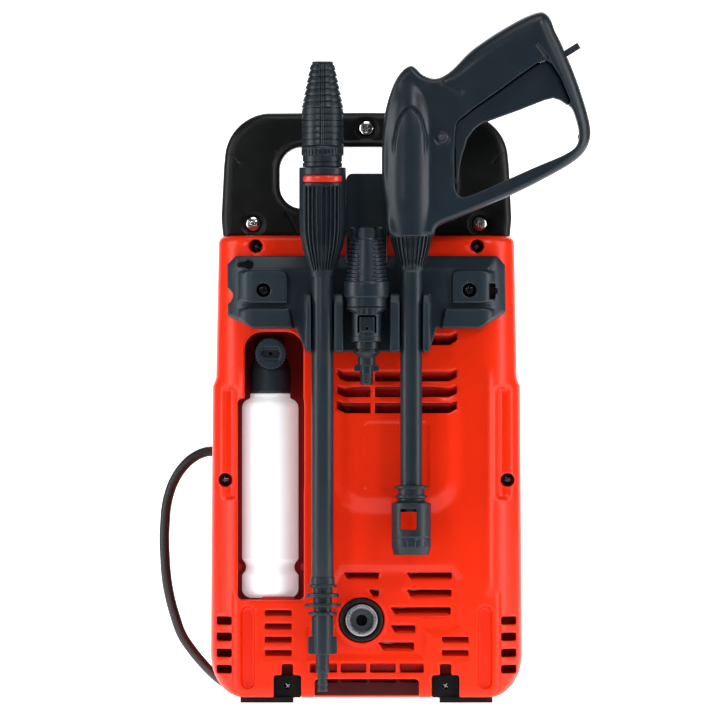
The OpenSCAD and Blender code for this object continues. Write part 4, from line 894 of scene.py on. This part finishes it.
def turned(name, node, centre, profile, count=96, cut=None, sharp=32, mat=None, axis="z"):
    """A turned piece; cut(angle, height, radius) gives how deep its surface lies below the profile."""
    prof = np.array(profile, float)
    th = np.linspace(0, 2 * np.pi, count, endpoint=False)
    r = np.repeat(prof[:, :1], count, 1)
    h = np.repeat(prof[:, 1:], count, 1)
    if cut is not None:
        r = np.maximum(r - cut(th[None, :] + 0 * r, h, r), 0.0)
    u, v = r * np.cos(th) + centre[0], r * np.sin(th) + centre[1]
    verts = np.stack({"z": (u, v, h), "y": (u, h, v), "x": (h, u, v)}[axis], -1).reshape(-1, 3)
    faces = []
    for i in range(len(prof) - 1):
        for j in range(count):
            k = (j + 1) % count
            q = (i * count + j, i * count + k, (i + 1) * count + k, (i + 1) * count + j)
            faces.append(q if axis == "z" else q[::-1])
    obj = add(name, verts, faces, node, mat)
    bm = bmesh.new()
    bm.from_mesh(obj.data)
    bmesh.ops.remove_doubles(bm, verts=bm.verts, dist=1e-6)
    bmesh.ops.recalc_face_normals(bm, faces=bm.faces)
    bm.to_mesh(obj.data)
    bm.free()
    shade(obj.data, sharp)
    return obj


def wave(th, count, share=0.5, soft=0.25):
    """1 on the ridges and 0 in the grooves round a turned piece."""
    t = (th * count / (2 * np.pi)) % 1.0
    d = np.abs(t - 0.5) * 2
    return 1 - ease((d - (share - soft / 2)) / soft)


def from_front(th):
    """Angle away from the side that faces the camera."""
    return np.abs((th + np.pi / 2 + np.pi) % (2 * np.pi) - np.pi)


turned("lance_tube_skin", "lance_tube", (LX, AY), soften(
    [(4.5, 93.5), (8.15, 93.5), (8.15, 331), (4.5, 331), (4.5, 93.5)], 0.3))


def grip_cut(th, h, r):
    """Flutes on the front and the back, and the window that shows the red ring."""
    front = from_front(th)

    def zone(half, soft):
        return np.clip((1 - ease((front - half) / soft)) + (1 - ease((np.pi - front - half) / soft)), 0, 1)

    along = ease((382.6 - h) / 0.7) * ease((h - 317.5) / 5)
    ring = 4.35 * zone(0.98, 0.03) * ((h > 385.4) & (h < 391.7) & (r > 17))
    flutes = 2.1 * (1 - wave(th + 0.1, 31, 0.36, 0.16)) * zone(0.86, 0.05) * along * np.clip((r - 8.5) / 2.5, 0, 1)
    return ring + flutes


turned("lance_grip_skin", "lance_grip", (LX, AY), dense(soften(
    [(8.12, 316), (8.7, 316), (9.2, 320), (15.2, 339), (17.0, 349), (17.35, 360), (17.35, 385.3), (17.35, 385.5),
     (17.35, 391.6), (17.35, 391.8), (17.35, 396.6), (16.8, 397.1), (6.1, 397.1),
     (6.1, 321), (8.12, 320), (8.12, 316)], 0.5), 1.6), 372, grip_cut, 40)
turned("indicator_ring_skin", "indicator_ring", (LX, AY), soften(
    [(13.1, 385.7), (16.2, 385.7), (16.9, 387), (17.0, 388.6), (16.9, 390.2), (16.2, 391.4), (13.1, 391.4),
     (13.1, 385.7)], 0.5, 4), 128)


def turbo_profile():
    pts = [(5.0, 397.4), (14.3, 397.4), (14.7, 397.8), (14.7, 400.4), (13.9, 400.7), (13.9, 401.3), (14.7, 401.6),
           (14.7, 405.4), (15.3, 405.8), (15.75, 406.6), (15.75, 411.4), (15.2, 412.8), (14.6, 413.2)]
    z = 413.2
    while z < 471:
        z1 = min(z + 4.66, 474.2)
        a, b = (15.5 - 7.0 * np.clip((v - 441.5) / 34, 0, 1) for v in (z, z1))
        pts += [(a - 0.1, z + 0.15), (a, z + 0.7), (b - 0.35, z1 - 0.5), (b - 1.15, z1 - 0.28), (b - 1.15, z1)]
        z = z1
    return pts + [(8.1, 474.4), (7.6, 475.5), (5.2, 475.5), (5.0, 474.6), (5.0, 463), (0, 463)]


def turbo_cut(th, h, r):
    """A knurled band, and moulding seams down the front and the back."""
    knurl = 0.85 * (1 - wave(th, 34, 0.45, 0.3)) * ease((h - 405.9) / 0.5) * ease((411.2 - h) / 0.6)
    front = from_front(th)
    seam = (np.exp(-((front * r - 1.5) / 0.45) ** 2) + np.exp(-(front * r / 0.4) ** 2) * 0.7
            + np.exp(-(((np.pi - front) * r - 1.5) / 0.45) ** 2)) * 0.9 * ease(h - 413) * ease(473 - h)
    return np.where(r > 7.3, knurl + seam, 0)


turned("turbo_nozzle_skin", "turbo_nozzle", (LX, AY), dense(turbo_profile(), 1.5), 408, turbo_cut, 38)


def ears(f, cx, r0, r1, z0, z1, half, soft=1.6):
    """Two lugs of a bayonet end."""
    for s in (-1, 1):
        xs = sorted((cx + s * (r0 - 1), cx + s * r1))
        f.add(lambda p, q, w: smax(box2(p, w, *xs, z0, z1, soft), np.abs(q - AY) - half, 1.0), xs, near(AY, half),
              (z0, z1), 0.5)


def stack(f, cx, parts, k=0.25):
    """Discs and cylinders on one upright axis: radius, low, high and, for a cone, top radius."""
    for r, z0, z1, *top in parts:
        r2 = top[0] if top else r
        slope = (r2 - r) / (z1 - z0)
        c = 1 / math.sqrt(1 + slope * slope)
        f.add(lambda a, b, w: smax((rod(a, b, cx, AY, r) - slope * (w - z0)) * c,
                                   np.abs(w - (z0 + z1) / 2) - (z1 - z0) / 2, min(0.5, (z1 - z0) / 4)),
              near(cx, max(r, r2)), near(AY, max(r, r2)), (z0, z1), k)


def o_ring(f, cx, z0, r, wire, k, m=1):
    """A groove round an upright axis."""
    f.cut(lambda a, b, c: np.hypot(rod(a, b, cx, AY, r), c - z0) - wire, near(cx, r + m), near(AY, r + m), near(z0, 1),
          k)


def lance_plug():
    f = Field(near(LX, 14.5), near(AY, 14.5), (8.4, 101), 0.4)
    stack(f, LX, [(3.5, 9.3, 10, 3.8), (3.8, 9.8, 23), (4.9, 22.6, 36.6), (3.2, 14, 15), (5.25, 23.2, 27.2),
                  (6.6, 36.6, 66.4), (10.6, 66, 68.2), (6.6, 68, 72.2), (13.6, 72, 74.3), (7, 74, 79.2),
                  (12.3, 79, 82), (7.4, 81.8, 86.4), (10.6, 86.2, 88.3), (9.0, 88, 94), (4.4, 93, 100)])
    for z0 in (13.5, 18.5):
        o_ring(f, LX, z0, 4.1, 0.75, 0.2)
    ears(f, LX, 6, 10.9, 36.8, 50, 3)
    for s in (-1, 1):
        f.block(near(LX + s * 6.8, 1.3), near(AY, 3), (50, 65), 1, 0.6, 0.5)
    f.cut(lambda a, b, c: rod(a, b, LX, AY, 1.6), near(LX, 2), near(AY, 2), None, 0.2)
    return f


lance_plug().skin("lance_plug_skin", "lance_plug")


def barrel_cut(th, h, r):
    along = ease((346.2 - h) / 0.6) * ease((h - 321.5) / 5)
    return 2.0 * (1 - wave(th + 0.05, 26, 0.36, 0.16)) * along * np.clip((r - 8.6) / 2.0, 0, 1)


turned("gun_barrel_skin", "gun_barrel", (GX, AY), dense(soften(
    [(4.5, 142.2), (8.15, 142.2), (8.15, 319.5), (8.8, 320.5), (10.2, 325), (13.8, 337.5), (15.6, 345.8), (15.9, 349),
     (9.7, 349), (9.7, 365.8), (4.5, 365.8), (4.5, 142.2)], 0.4), 1.6), 312, barrel_cut, 40)


def gun_socket():
    f = Field(near(GX, 15.5), near(AY, 15.5), (109.6, 162.5), 0.4)
    stack(f, GX, [(13.1, 110.4, 116.6, 14.6), (14.6, 116.4, 148.9), (10, 148, 162), (12.1, 152.4, 154.7),
                  (12.8, 159.4, 161.5), (13.6, 148.6, 150.4, 10.6)])
    f.cut(lambda a, b, c: rod(a, b, GX, AY, 8.4), z=(108, 127.8), k=0.6)
    f.cut(lambda a, b, c: rod(a, b, GX, AY, 8.0), z=(128, 139.8))
    f.cut(lambda a, b, c: smax(box2(a, c, GX - 7.8, GX + 3.9, 128.8, 144.6, 1.2), np.abs(b - AY) - 20, 0),
          (GX - 8, GX + 4), None, (128, 145), 0.6)
    o_ring(f, GX, 123, 15.0, 0.8, 0.3)
    for k in range(12):
        t = 2 * math.pi * (k + 0.5) / 12
        f.cut(lambda a, b, c: np.hypot(a - GX - 15.1 * math.cos(t), b - AY - 15.1 * math.sin(t)) - 0.9
              + 2 * np.maximum(np.abs(c - 118.6) - 2.2, 0), z=(115, 122), k=0.2)
    return f


gun_socket().skin("gun_socket_skin", "gun_socket")


def nozzle_body():
    f = Field((-17.5, 17.5), near(AY, 17.5), (261.5, 295), 0.4)
    x, y, z = f.x, f.y, f.z
    stack(f, 0, [(9.2, 262.6, 268), (12.0, 268.2, 272.2), (11.6, 271.5, 294), (13.4, 290, 293.6)])
    # front band with its arched underside, ribs and square button
    arch = poly2(x, z, [(-16.5, 299), (16.5, 299), (16.5, 291.6), (12.5, 291.8), (8.8, 290.2), (6.4, 287.8),
                        (-5.6, 287.8), (-8.2, 290.2), (-12, 291.8), (-16.5, 291.6)])
    f.d = smin(f.d, smax(smax(arch, np.abs(rod(x, y, 0, AY, 13.6)) - 1.9, 0.8), z - 293.6, 0.6), 0.8)
    for xs in ((-4.1, -2.9), (-0.4, 0.9), (3.6, 5.0)):
        f.block(xs, (AY - 16.2, AY - 8), (287.8, 293.4), 0.4, 0.4, 0.3)
    f.block((-5.1, 5.8), (AY - 13.4, AY - 4), (275.5, 286.5), 0.8, 0.7, 0.2)
    ring = np.abs(box2(x, z, -5.8, 6.5, 272.8, 287.2, 0.8)) - 0.45
    f.d = np.maximum(f.d, -np.maximum(np.maximum(ring, y - AY), 274.5 - z))
    f.hole(0.36, 278, 1.2, AY - 8, 0.3, ys=(AY - 15, AY - 8))
    f.add(lambda a, b, c: rod(a, b, 0, AY, 9.0), (-9, 9), near(AY, 9), (290, 294.4))
    f.d = np.maximum(f.d, z - 294.4)
    return f


nozzle_body().skin("nozzle_body_skin", "nozzle_body")


def sleeve_profile():
    pts = [(9.1, 294.2), (15.2, 294.2), (15.2, 300.4), (16.4, 300.8), (16.9, 301.6), (16.9, 311.8), (16.3, 312.8)]
    z = 312.8
    while z < 343:
        r = 16.0 - 3.8 * (z - 312.8) / 31
        pts += [(r - 1.1, z + 0.2), (r - 1.1, z + 0.9), (r, z + 1.35), (r - 0.15, z + 2.3), (r - 0.5, z + 2.75)]
        z += 2.95
    return pts + [(12.1, 343.4), (11.7, 352.2), (11.2, 352.6), (4.6, 352.6), (4.6, 350.5), (9.1, 350.5), (9.1, 294.2)]


def sleeve_cut(th, h, r):
    """Smooth bands down the front and the back of the ribs, and a slot near the top."""
    front = from_front(th)
    band = ((front * r < 5.3) | ((np.pi - front) * r < 5.3)) & (h > 312.9) & (h < 343.2) & (r > 10.5)
    slot = (np.abs(front * r - 8.0) < 2.8) & (h > 344.5) & (r > 10.5)
    return np.where(band, r - 15.3 + 3.6 * (h - 312.8) / 31, 0) + np.where(slot, 3.0, 0)


turned("nozzle_sleeve_skin", "nozzle_sleeve", (0, AY), dense(sleeve_profile(), 1.6), 240, sleeve_cut, 35)


def nozzle_plug():
    f = Field((-11.5, 11.5), near(AY, 11.5), (235.3, 263.4), 0.35)
    stack(f, 0, [(4.3, 236.2, 237.2, 4.8), (4.8, 237, 250.8), (6.7, 250.4, 257.2), (6.9, 256.6, 260.2, 10.2),
                 (10.2, 260, 261), (8.2, 260.6, 262.7)])
    for z0 in (239, 241.4, 243.6):
        o_ring(f, 0, z0, 5.0, 0.55, 0.2)
    ears(f, 0, 5, 9.4, 246, 251, 2.5, 1.8)
    f.cut(lambda a, b, c: rod(a, b, 0, AY, 1.6), (-2, 2), near(AY, 2), None, 0.2)
    return f


nozzle_plug().skin("nozzle_plug_skin", "nozzle_plug")


# ---- foam bottle
def bottle_cut(th, h, r):
    """The fine line that the mould leaves down both sides."""
    side = np.minimum(np.abs(th), np.minimum(np.abs(th - np.pi), np.abs(th - 2 * np.pi)))
    return np.where(r > 15, -0.14 * np.exp(-(side * r / 0.35) ** 2), 0)


turned("foam_bottle_skin", "foam_bottle", (BX, BY), dense(
    [(0, 79.4)] + soften([(10, 79.4), (12.5, 78.1), (15.8, 78)], 0.8) + arc(BR - 6.2, 84.2, 6.2, 6.2, -80, 0, 9)
    + soften([(BR, 93.6), (BR, 94.6), (BR - 2.6, 98), (BR - 3.1, 100.6), (BR - 2.6, 103.2), (BR, 106.6), (BR, 107.4)],
             2.6, 5)
    + arc(BR - 7, 218.8, 7, 7, 0, 74, 9)
    + soften([(15.8, 225.6), (14.8, 226.4), (14.8, 229.6), (9, 229.7)], 0.7) + [(9, 235)], 6), 192, bottle_cut, 45)
TIP_X, TIP_Z = 0.6, 259.3  # the spray tip, from the bottle's axis


def bottle_cap():
    f = Field(near(BX, 16.5), (BY - 18.6, BY + 16.5), (228.8, 273.5), 0.4)
    x, y, z = f.x - BX, f.y - BY, f.z
    r = np.hypot(x, y)
    skirt = smax((r - 15.25 + 0.3 * np.maximum(z - 247, 0)) * 0.96, np.abs(z - 247.5) - 17.6, 1.2)
    f.d[:] = smin(skirt, smax(r - 10.4, np.abs(z - 264) - 7.9, 1.6), 2.0)
    f.d = smin(f.d, smax(rod(x, z, TIP_X, TIP_Z, 9.4), np.abs(y + 9) - 8.6, 0.8), 1.2)
    f.cut(lambda a, b, c: rod(a, b, BX, BY, 9.1), z=(228, 240), k=0.3)
    f.cut(lambda a, b, c: np.abs(rod(a, b, BX, BY, 15.6)) + np.abs(c - 230.9) - 0.9, z=(229, 233), k=0.2)
    f.cut(lambda a, b, c: smax(np.hypot(a - BX - TIP_X, c - TIP_Z) - 5.1, b - BY + 4, 0), (BX - 6, BX + 7), None,
          (253, 266), 0.2)
    return f


bottle_cap().skin("bottle_cap_skin", "bottle_cap")


def spray_tip():
    f = Field((BX - 12, BX + 13), (BY - 23.8, BY - 5), (246.8, 272), 0.35)
    x, y, z = f.x - BX - TIP_X, f.y - BY, f.z - TIP_Z
    r = np.hypot(x, z)
    f.d[:] = smin(smax(r - 11.7, np.abs(y + 20.5) - 2.5, 0.9), smax(r - 5.0, np.abs(y + 12) - 6.1, 0.4), 0.3)
    th = np.arctan2(z, x)
    f.d = f.d + 0.5 * (np.abs(((th * 28 / (2 * np.pi)) % 1.0) - 0.5) < 0.16) * (np.abs(r - 11.7) < 1.0)
    f.outer = f.d.copy()
    f.d = smax(f.d, -smax(smax(r - 7.4, np.abs(z) - 5.4, 0.5), y + 22.2, 0), 0.5)
    f.d = smax(f.d, -smax(box2(x, z, -6.9, 6.9, -2.8, 2.8, 2.6), y + 19, 0), 0.3)
    f.d = smax(f.d, -(r - 1.2), 0.2)
    return f


field = spray_tip()
# faces deep in the tip's recess and slot are painted near black, painted shade
field.skin("spray_tip_skin", "spray_tip", inside=[(field.outer, 1.7, HOLE_PAINTED_SHADE)])


# ---- screws
def screw_head(name, r, high, cross, mat):
    """A domed head with a cross recess, facing -Y, centred on the origin of the design frame."""
    f = Field((-r - 1, r + 1), (-high - 1, 1.6), (-r - 1, r + 1), r / 22)
    x, y, z = f.x, f.y, f.z
    d = np.hypot(x, z)
    dome = -(y + high * (1 - 0.62 * (d / r) ** 2))
    f.d[:] = smax(smax(d - r, dome, 0.5), y - 0.8, 0)
    arms = np.minimum(*(np.maximum(np.abs(p) - r * 0.11, np.abs(q) - r * cross) for p, q in ((x, z), (z, x))))
    f.d = smax(f.d, -smax(arms, y + high * 0.2, 0.1), 0.2)
    return f.skin(name, mat=mat, adapt=0.01)


def screws(node, places, r, high, depths, cross, turn=0.0):
    """Heads on one shared mesh, each turned a little further than the one before."""
    head = screw_head(node + "_head", r, high, cross, LOOK[node])
    me = head.data
    bpy.data.objects.remove(head)
    for k, ((x, z), depth) in enumerate(zip(places, depths)):
        obj = show("%s_%d" % (node, k + 1), me)
        rot = Matrix.Rotation(turn, 4, "Z") @ Matrix.Rotation(0.35 + 1.3 * k, 4, "Y")
        obj.matrix_world = (Matrix.Translation(place(x, depth, z)) @ rot
                            @ Matrix.Translation(-Vector(place(0, 0, 0))))
        if k == 0:
            stand_in(obj, node)
        else:
            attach(obj, BODY[node])


screws("cover_screws", COVER_SCREWS, 4, 2.6, [-61.5] * 6, 0.5)
screws("handle_screws", HANDLE_SCREWS, 5.6, 3.4, [-62.6] * 3, 0.42)
screws("bracket_screws", BRACKET_SCREWS, 4.2, 2.0, [-94.0] * 2, 0.6)
screws("gun_screws", [(62, 462), (66, 366), (104, 382), (159, 420), (116, 500)], 2.7, 1.4,
       [-97.9, -98.8, -98.8, -98.4, -96.7], 0.55, math.pi)


# ---- water outlet and inlet
def serrate(th, h, r):
    """Teeth inside the outlet's mouth."""
    return np.where((r < 9.4) & (h < -81), -0.55 * (1 - wave(th, 24, 0.5, 0.5)), 0)


outlet = turned("outlet_fitting_skin", "outlet_fitting", (PX, OZ), soften(
    [(4, -32.2), (7.4, -32.2), (7.4, -46), (9.8, -46), (9.8, -84), (11.9, -84), (11.9, -94.2), (11.3, -94.9),
     (9.2, -94.9), (8.6, -94.0), (8.6, -91), (7.6, -90.2), (3.9, -90), (3.8, -89.2), (3.8, -79.5), (4, -32.2)], 0.4),
    192, serrate, 35, axis="y")
# faces inside the outlet's bore get the darker steel, painted shade
outlet.data.materials.append(OUTLET_PAINTED_SHADE)
OUTLET_SHADE_R = 0.0084
centre = Vector(place(PX, 0, OZ))
for face in outlet.data.polygons:
    off = face.center - centre
    if math.hypot(off.x, off.z) < OUTLET_SHADE_R:
        face.material_index = 1
turned("outlet_collar_skin", "outlet_collar", (PX, OZ), soften(
    [(12.05, -83), (12.05, -89.2), (12.9, -90.8), (15.0, -91.0), (15.9, -90.2), (16.0, -82), (18.9, -81.8),
     (18.9, -78), (10.1, -78), (10.1, -83), (12.05, -83)], 0.6), 128, None, 35, axis="y")
thread = [(r, h + 2.2 * k) for k in range(6) for r, h in ((13.2, 88), (12.6, 88.7), (12.6, 89.3), (13.2, 90))]
turned("inlet_fitting_skin", "inlet_fitting", (PX, IZ), soften(
    [(4, 20.7), (6.9, 20.7), (6.9, 33), (9.9, 33.5), (9.9, 78), (12.9, 78.3), (12.9, 86.2), (13.2, 86.6)] + thread
    + [(13.2, 101.2), (12.5, 102), (10.2, 102), (9.6, 101.4), (9.6, 78), (4, 76.5), (4, 20.7)], 0.3), 128, None, 35,
    axis="y")


# ---- front cover and panel
def brick(a, b, c, at, half):
    """Distance to a plain box."""
    return np.maximum(np.maximum(np.abs(a - at[0]) - half[0], np.abs(b - at[1]) - half[1]), np.abs(c - at[2]) - half[2])


def front_cover():
    f = Field((-118, 118), (-21, 88), (2, 349.5), 0.8)
    x, y, z = f.x, f.y, f.z
    ax = np.abs(x)
    # generous corners at the front, seen from above
    plan = np.hypot(np.maximum(ax - 82, 0), np.maximum(y - 51, 0)) - 34
    base = smax(smax(poly2(x, z, BODY_OUTLINE), plan, 4), y - 85, 3)
    f.d[:] = base
    pocket = prism(box2(y, z, 22, 54, 170, 202, 3), x, -130, -93, 1.5)
    feet = np.maximum(np.abs(ax - 74) - 9, np.maximum(np.abs(y - 67.5) - 12.5, z - 12))
    hollow = np.maximum(np.maximum(base + WALL, -(pocket - WALL)), -feet)
    f.d = np.maximum(f.d, -hollow)
    f.clip(lambda a, b, c: SPLIT_Y - b)
    # bosses that take the cover screws, with the ribs that carry them
    for px, pz in COVER_SCREWS[:4]:
        f.add(lambda a, b, c: smax(rod(a, c, px, pz, 4.6), np.abs(b + 7) - 13, 0), near(px, 5), (-20, 6), near(pz, 5),
              0.5)
    for s in (-1, 1):
        for at, half in (((s * 82, -7, 342.5), (2, 13, 3.5)), ((s * 109, -7, 165.5), (5, 13, 2.5)),
                         ((s * FOOT_X, -10, 11), (6, 10, 7))):
            f.add(lambda a, b, c: brick(a, b, c, at, half), *(near(p, q) for p, q in zip(at, half)))
    f.cut(lambda a, b, c: pocket, k=1.6)
    f.cut(lambda a, b, c: rod(b, c, 38, 186, 5.6), (-96, -82), (32, 44), (180, 192), 0.4)
    f.cut(lambda a, b, c: prism(box2(a, c, -56, 56, 78, 316, 16), b, 70, 95), (-57, 57), (70, 90), (77, 317), 0.5)
    f.cut(lambda a, b, c: smax(box2(a, c, -62.3, 62.3, 71.7, 322.3, 20.3), 84 - b, 0), (-63, 63), (83, 90), (71, 323),
          0.6)
    f.cut(lambda a, b, c: rod(a, c, PX, IZ, 14.2), near(PX, 15), (70, 90), near(IZ, 15), 0.8)
    # a dished seat round the water inlet and long lines that lift the face
    f.hole(PX, IZ, 20, 83.9, 1.2, side=-1, soft=0.4, ys=(82, 90))
    for s in (-1, 1):
        for first, count in ((60, 7), (252, 6)):
            for k in range(count):
                louvre(f, s, first + 11 * k)
        f.cut(lambda a, b, c: rod(a, b, s * 71, 83.4, 1.3) + 3 * np.maximum(np.abs(c - 197) - 118, 0),
              near(s * 71, 3), (80, 88), (74, 320), 0.8)
    # the seam with the rear half
    f.d = np.maximum(f.d, -np.maximum(y + 19.2, -(base + 0.8)))
    for px in (-74, 74):
        f.cut(lambda a, b, c: smax(rod(a, b, px, 62, 4), c - 10, 0), near(px, 4), (58, 66), (2, 10), 0.2)
    return f


def louvre(f, s, z0):
    """A side slot whose lower lip leans inwards."""
    f.cut(lambda a, b, c: smax(box2(b, c + 0.35 * (116 - np.abs(a)), -8, 44, z0, z0 + 5, 2.2), 100 - np.abs(a), 0),
          near(s * 109.5, 10.5), (-8, 44), (z0 - 6, z0 + 6), 0.9)


front_cover().skin("front_cover_skin", "front_cover", adapt=0.01)
DIAL_Z = 284


def front_panel():
    f = Field((-63.5, 63.5), (77, 90), (70.5, 323.5), 0.6)
    x, y, z = f.x, f.y, f.z
    f.d[:] = prism(box2(x, z, -61.9, 61.9, 72.1, 321.9, 20), y, 84.1, 88, 1.4)
    rim = prism(np.abs(box2(x, z, -54.2, 54.2, 79.8, 314.2, 14)) - 1.5, y, 79.1, 85, 0.3)
    f.d = smin(f.d, rim, 0.3)
    # the dished dial with its raised rim, and a fine groove inside the border
    f.d = smax(f.d, -smax(rod(x, z, 0, DIAL_Z, 24.5), 87.0 - y, 0), 1.0)
    f.add(lambda a, b, c: smax(np.abs(rod(a, c, 0, DIAL_Z, 26.2)) - 1.2, np.abs(b - 87) - 2.0, 0.8), (-28, 28),
          (84, 90), near(DIAL_Z, 28), 0.6)
    f.cut(lambda a, b, c: smax(np.abs(box2(a, c, -57, 57, 77, 317, 16)) - 0.45, 87.3 - b, 0), y=(86, 90), k=0.5)
    for z0 in range(100, 226, 14):
        f.cut(lambda a, b, c: prism(box2(a, c + 0.5 * (88 - b), -38, 38, z0, z0 + 6, 2.9), b, 76, 95), (-39, 39),
              (77, 90), (z0 - 4, z0 + 8), 0.9)
    f.cut(lambda a, b, c: rod(a, c, 0, DIAL_Z, 7), (-8, 8), None, near(DIAL_Z, 8), 0.3)
    # marks beside the dial: a ring above it and a stroke at its right
    mark_r = 31
    f.add(lambda a, b, c: smax(np.abs(rod(a, c, 0, DIAL_Z + mark_r, 1.6)) - 0.5, np.abs(b - 87.7) - 0.8, 0.3),
          (-3, 3), (86, 90), near(DIAL_Z + mark_r, 3), 0.2)
    f.add(lambda a, b, c: smax(box2(a, c, *near(mark_r, 0.5), *near(DIAL_Z, 2), 0.3), np.abs(b - 87.7) - 0.8, 0.3),
          near(mark_r, 3), (86, 90), near(DIAL_Z, 3), 0.2)
    return f


front_panel().skin("front_panel_skin", "front_panel", adapt=0.01)


def knob():
    f = Field((-21.5, 21.5), (63, 105.5), (262.5, 305.5), 0.45)
    x, y, z = f.x, f.y, f.z - DIAL_Z
    r = np.hypot(x, z)
    disc = smax(r - 20 + 0.12 * (y - 88.4), np.abs(y - 90.7) - 2.3, 1.2)
    th = np.arctan2(z, x)
    disc = disc + 0.5 * np.clip(1 - np.abs(r - 20) / 1.5, 0, 1) * (0.5 + 0.5 * np.cos(th * 36))
    bar = smax(poly2(x, z, [(-5, -13), (5, -13), (5, 13), (-5, 13)]) + 0.12 * (y - 92) - 0.6, np.abs(y - 97.5) - 6.5,
               1.8)
    bar = smax(bar, r - 18.3 + 0.06 * (y - 92), 1.5)
    f.d[:] = smin(smin(disc, bar, 1.6), smax(r - 5, np.abs(y - 77) - 13, 0.4), 0.5)
    f.cut(lambda a, b, c: smax(box2(a, c, -0.8, 0.8, 289, 297.5, 0.7), 103.3 - b, 0), (-2, 2), (102, 105), (288, 298),
          0.2)
    return f


knob().skin("switch_knob_skin", "switch_knob")

# ---- cord fittings
folds = [(r + d * k, h + 3.3 * k) for k in range(5)
         for r, h, d in ((4.6, -110.6, 0.55), (4.7, -109, 0.55), (3.9, -108.6, 0.5), (3.9, -107.8, 0.5))]
relief = turned("strain_relief_skin", "strain_relief", (38, 186), soften(
    [(3.8, -113), (4.4, -113), (4.5, -111)] + folds
    + [(7.4, -94), (7.5, -93.1), (5.5, -93), (5.5, -85), (8.4, -84.9), (8.4, -82.1), (3.8, -82), (3.8, -113)], 0.3),
    64, None, 40, axis="x")
PLUG_Z = 43


def plug():
    f = Field((-87, -57), (148, 188.5), (30, 57), 0.45)
    x, y, z = f.x + 72, f.y - 150, f.z - PLUG_Z
    t = np.clip(y / 36, 0, 1)
    half_x = 6.5 + 7.2 * ease(t / 0.75)
    body = np.hypot(np.maximum(np.abs(x) - half_x + 6, 0), np.maximum(np.abs(z) - 5.5 - 2.0 * ease(t / 0.6), 0)) - 6.0
    body = smax(smax(body, np.abs(y - 18) - 18, 1.4), np.abs(z) - 12, 1.0)
    for k in range(5):
        body = smax(body, -smax(np.abs(y - 9 - 3.6 * k) - 0.8, 9.0 - np.abs(z), 0), 0.5)
    f.d[:] = smin(body, smax(np.hypot(x, z) - 4.9 - 0.06 * y, np.abs(y - 3) - 5, 0.6), 1.5)
    f.d = smax(f.d, -smax(np.abs(box2(x, z, -11, 11, -8.5, 8.5, 6)) - 0.35, 35.6 - y, 0), 0.3)
    return f


plug_obj = plug().skin("plug_skin", "plug")
for k, px in enumerate((-81.5, -62.5)):
    pin = turned("plug_pin_%d" % (k + 1), None, (px, PLUG_Z), soften(
        [(0, 205), (1.9, 205), (2.4, 203.8), (2.4, 185), (0, 185)], 0.5), 32, None, 40, mat=NICKEL, axis="y")
    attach(pin, BODY["plug"])


def strap():
    """A soft strap that holds the coil's turns together."""
    width, thick, bend = 7, 0.55, 3.3
    loop = []
    for cx, cz, a0 in ((66, 27.9, 90), (66, 4.0, 0), (34.4, 4.0, -90), (34.4, 27.9, -180)):
        loop += arc(cx, cz, bend, bend, a0, a0 - 90, 6)
    n = len(loop)
    verts, faces = [], []
    for off, w in ((0.0, -width), (0.0, width), (thick, width), (thick, -width)):
        for r, z in loop:
            dx, dz = r - 50.2, z - 16
            d = math.hypot(dx, dz)
            verts.append((COIL[0] + r + dx / d * off, COIL[1] + w, z + dz / d * off))
    for k in range(4):
        m = (k + 1) % 4
        for i in range(n):
            j = (i + 1) % n
            faces.append((k * n + i, k * n + j, m * n + j, m * n + i))
    return verts, faces


tie = add("cord_strap", *strap(), mat=RUBBER)
shade(tie.data, 40)
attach(tie, BODY["cord_coil"])

# ---- carried-over CAD pieces
EDGE = 0.5  # millimetres taken off their sharp edges; a spring's wire has none
for name, obj in NODES.items():
    if name in DONE:
        continue
    for poly in obj.data.polygons:
        poly.use_smooth = True
    m = obj.modifiers.new("flat", "DECIMATE")
    m.decimate_type = "DISSOLVE"
    m.angle_limit = math.radians(1)
    if name not in ("piston_springs", "trigger_spring"):
        m = obj.modifiers.new("edges", "BEVEL")
        m.width = EDGE / 1000
        m.segments = 2
        m.limit_method = "ANGLE"
        m.angle_limit = math.radians(32)
        m.use_clamp_overlap = True
        m.harden_normals = False
    m = obj.modifiers.new("shade", "WEIGHTED_NORMAL")
    m.keep_sharp = True

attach(cord_obj, "machine")
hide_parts("cord_run", "cord_coil")
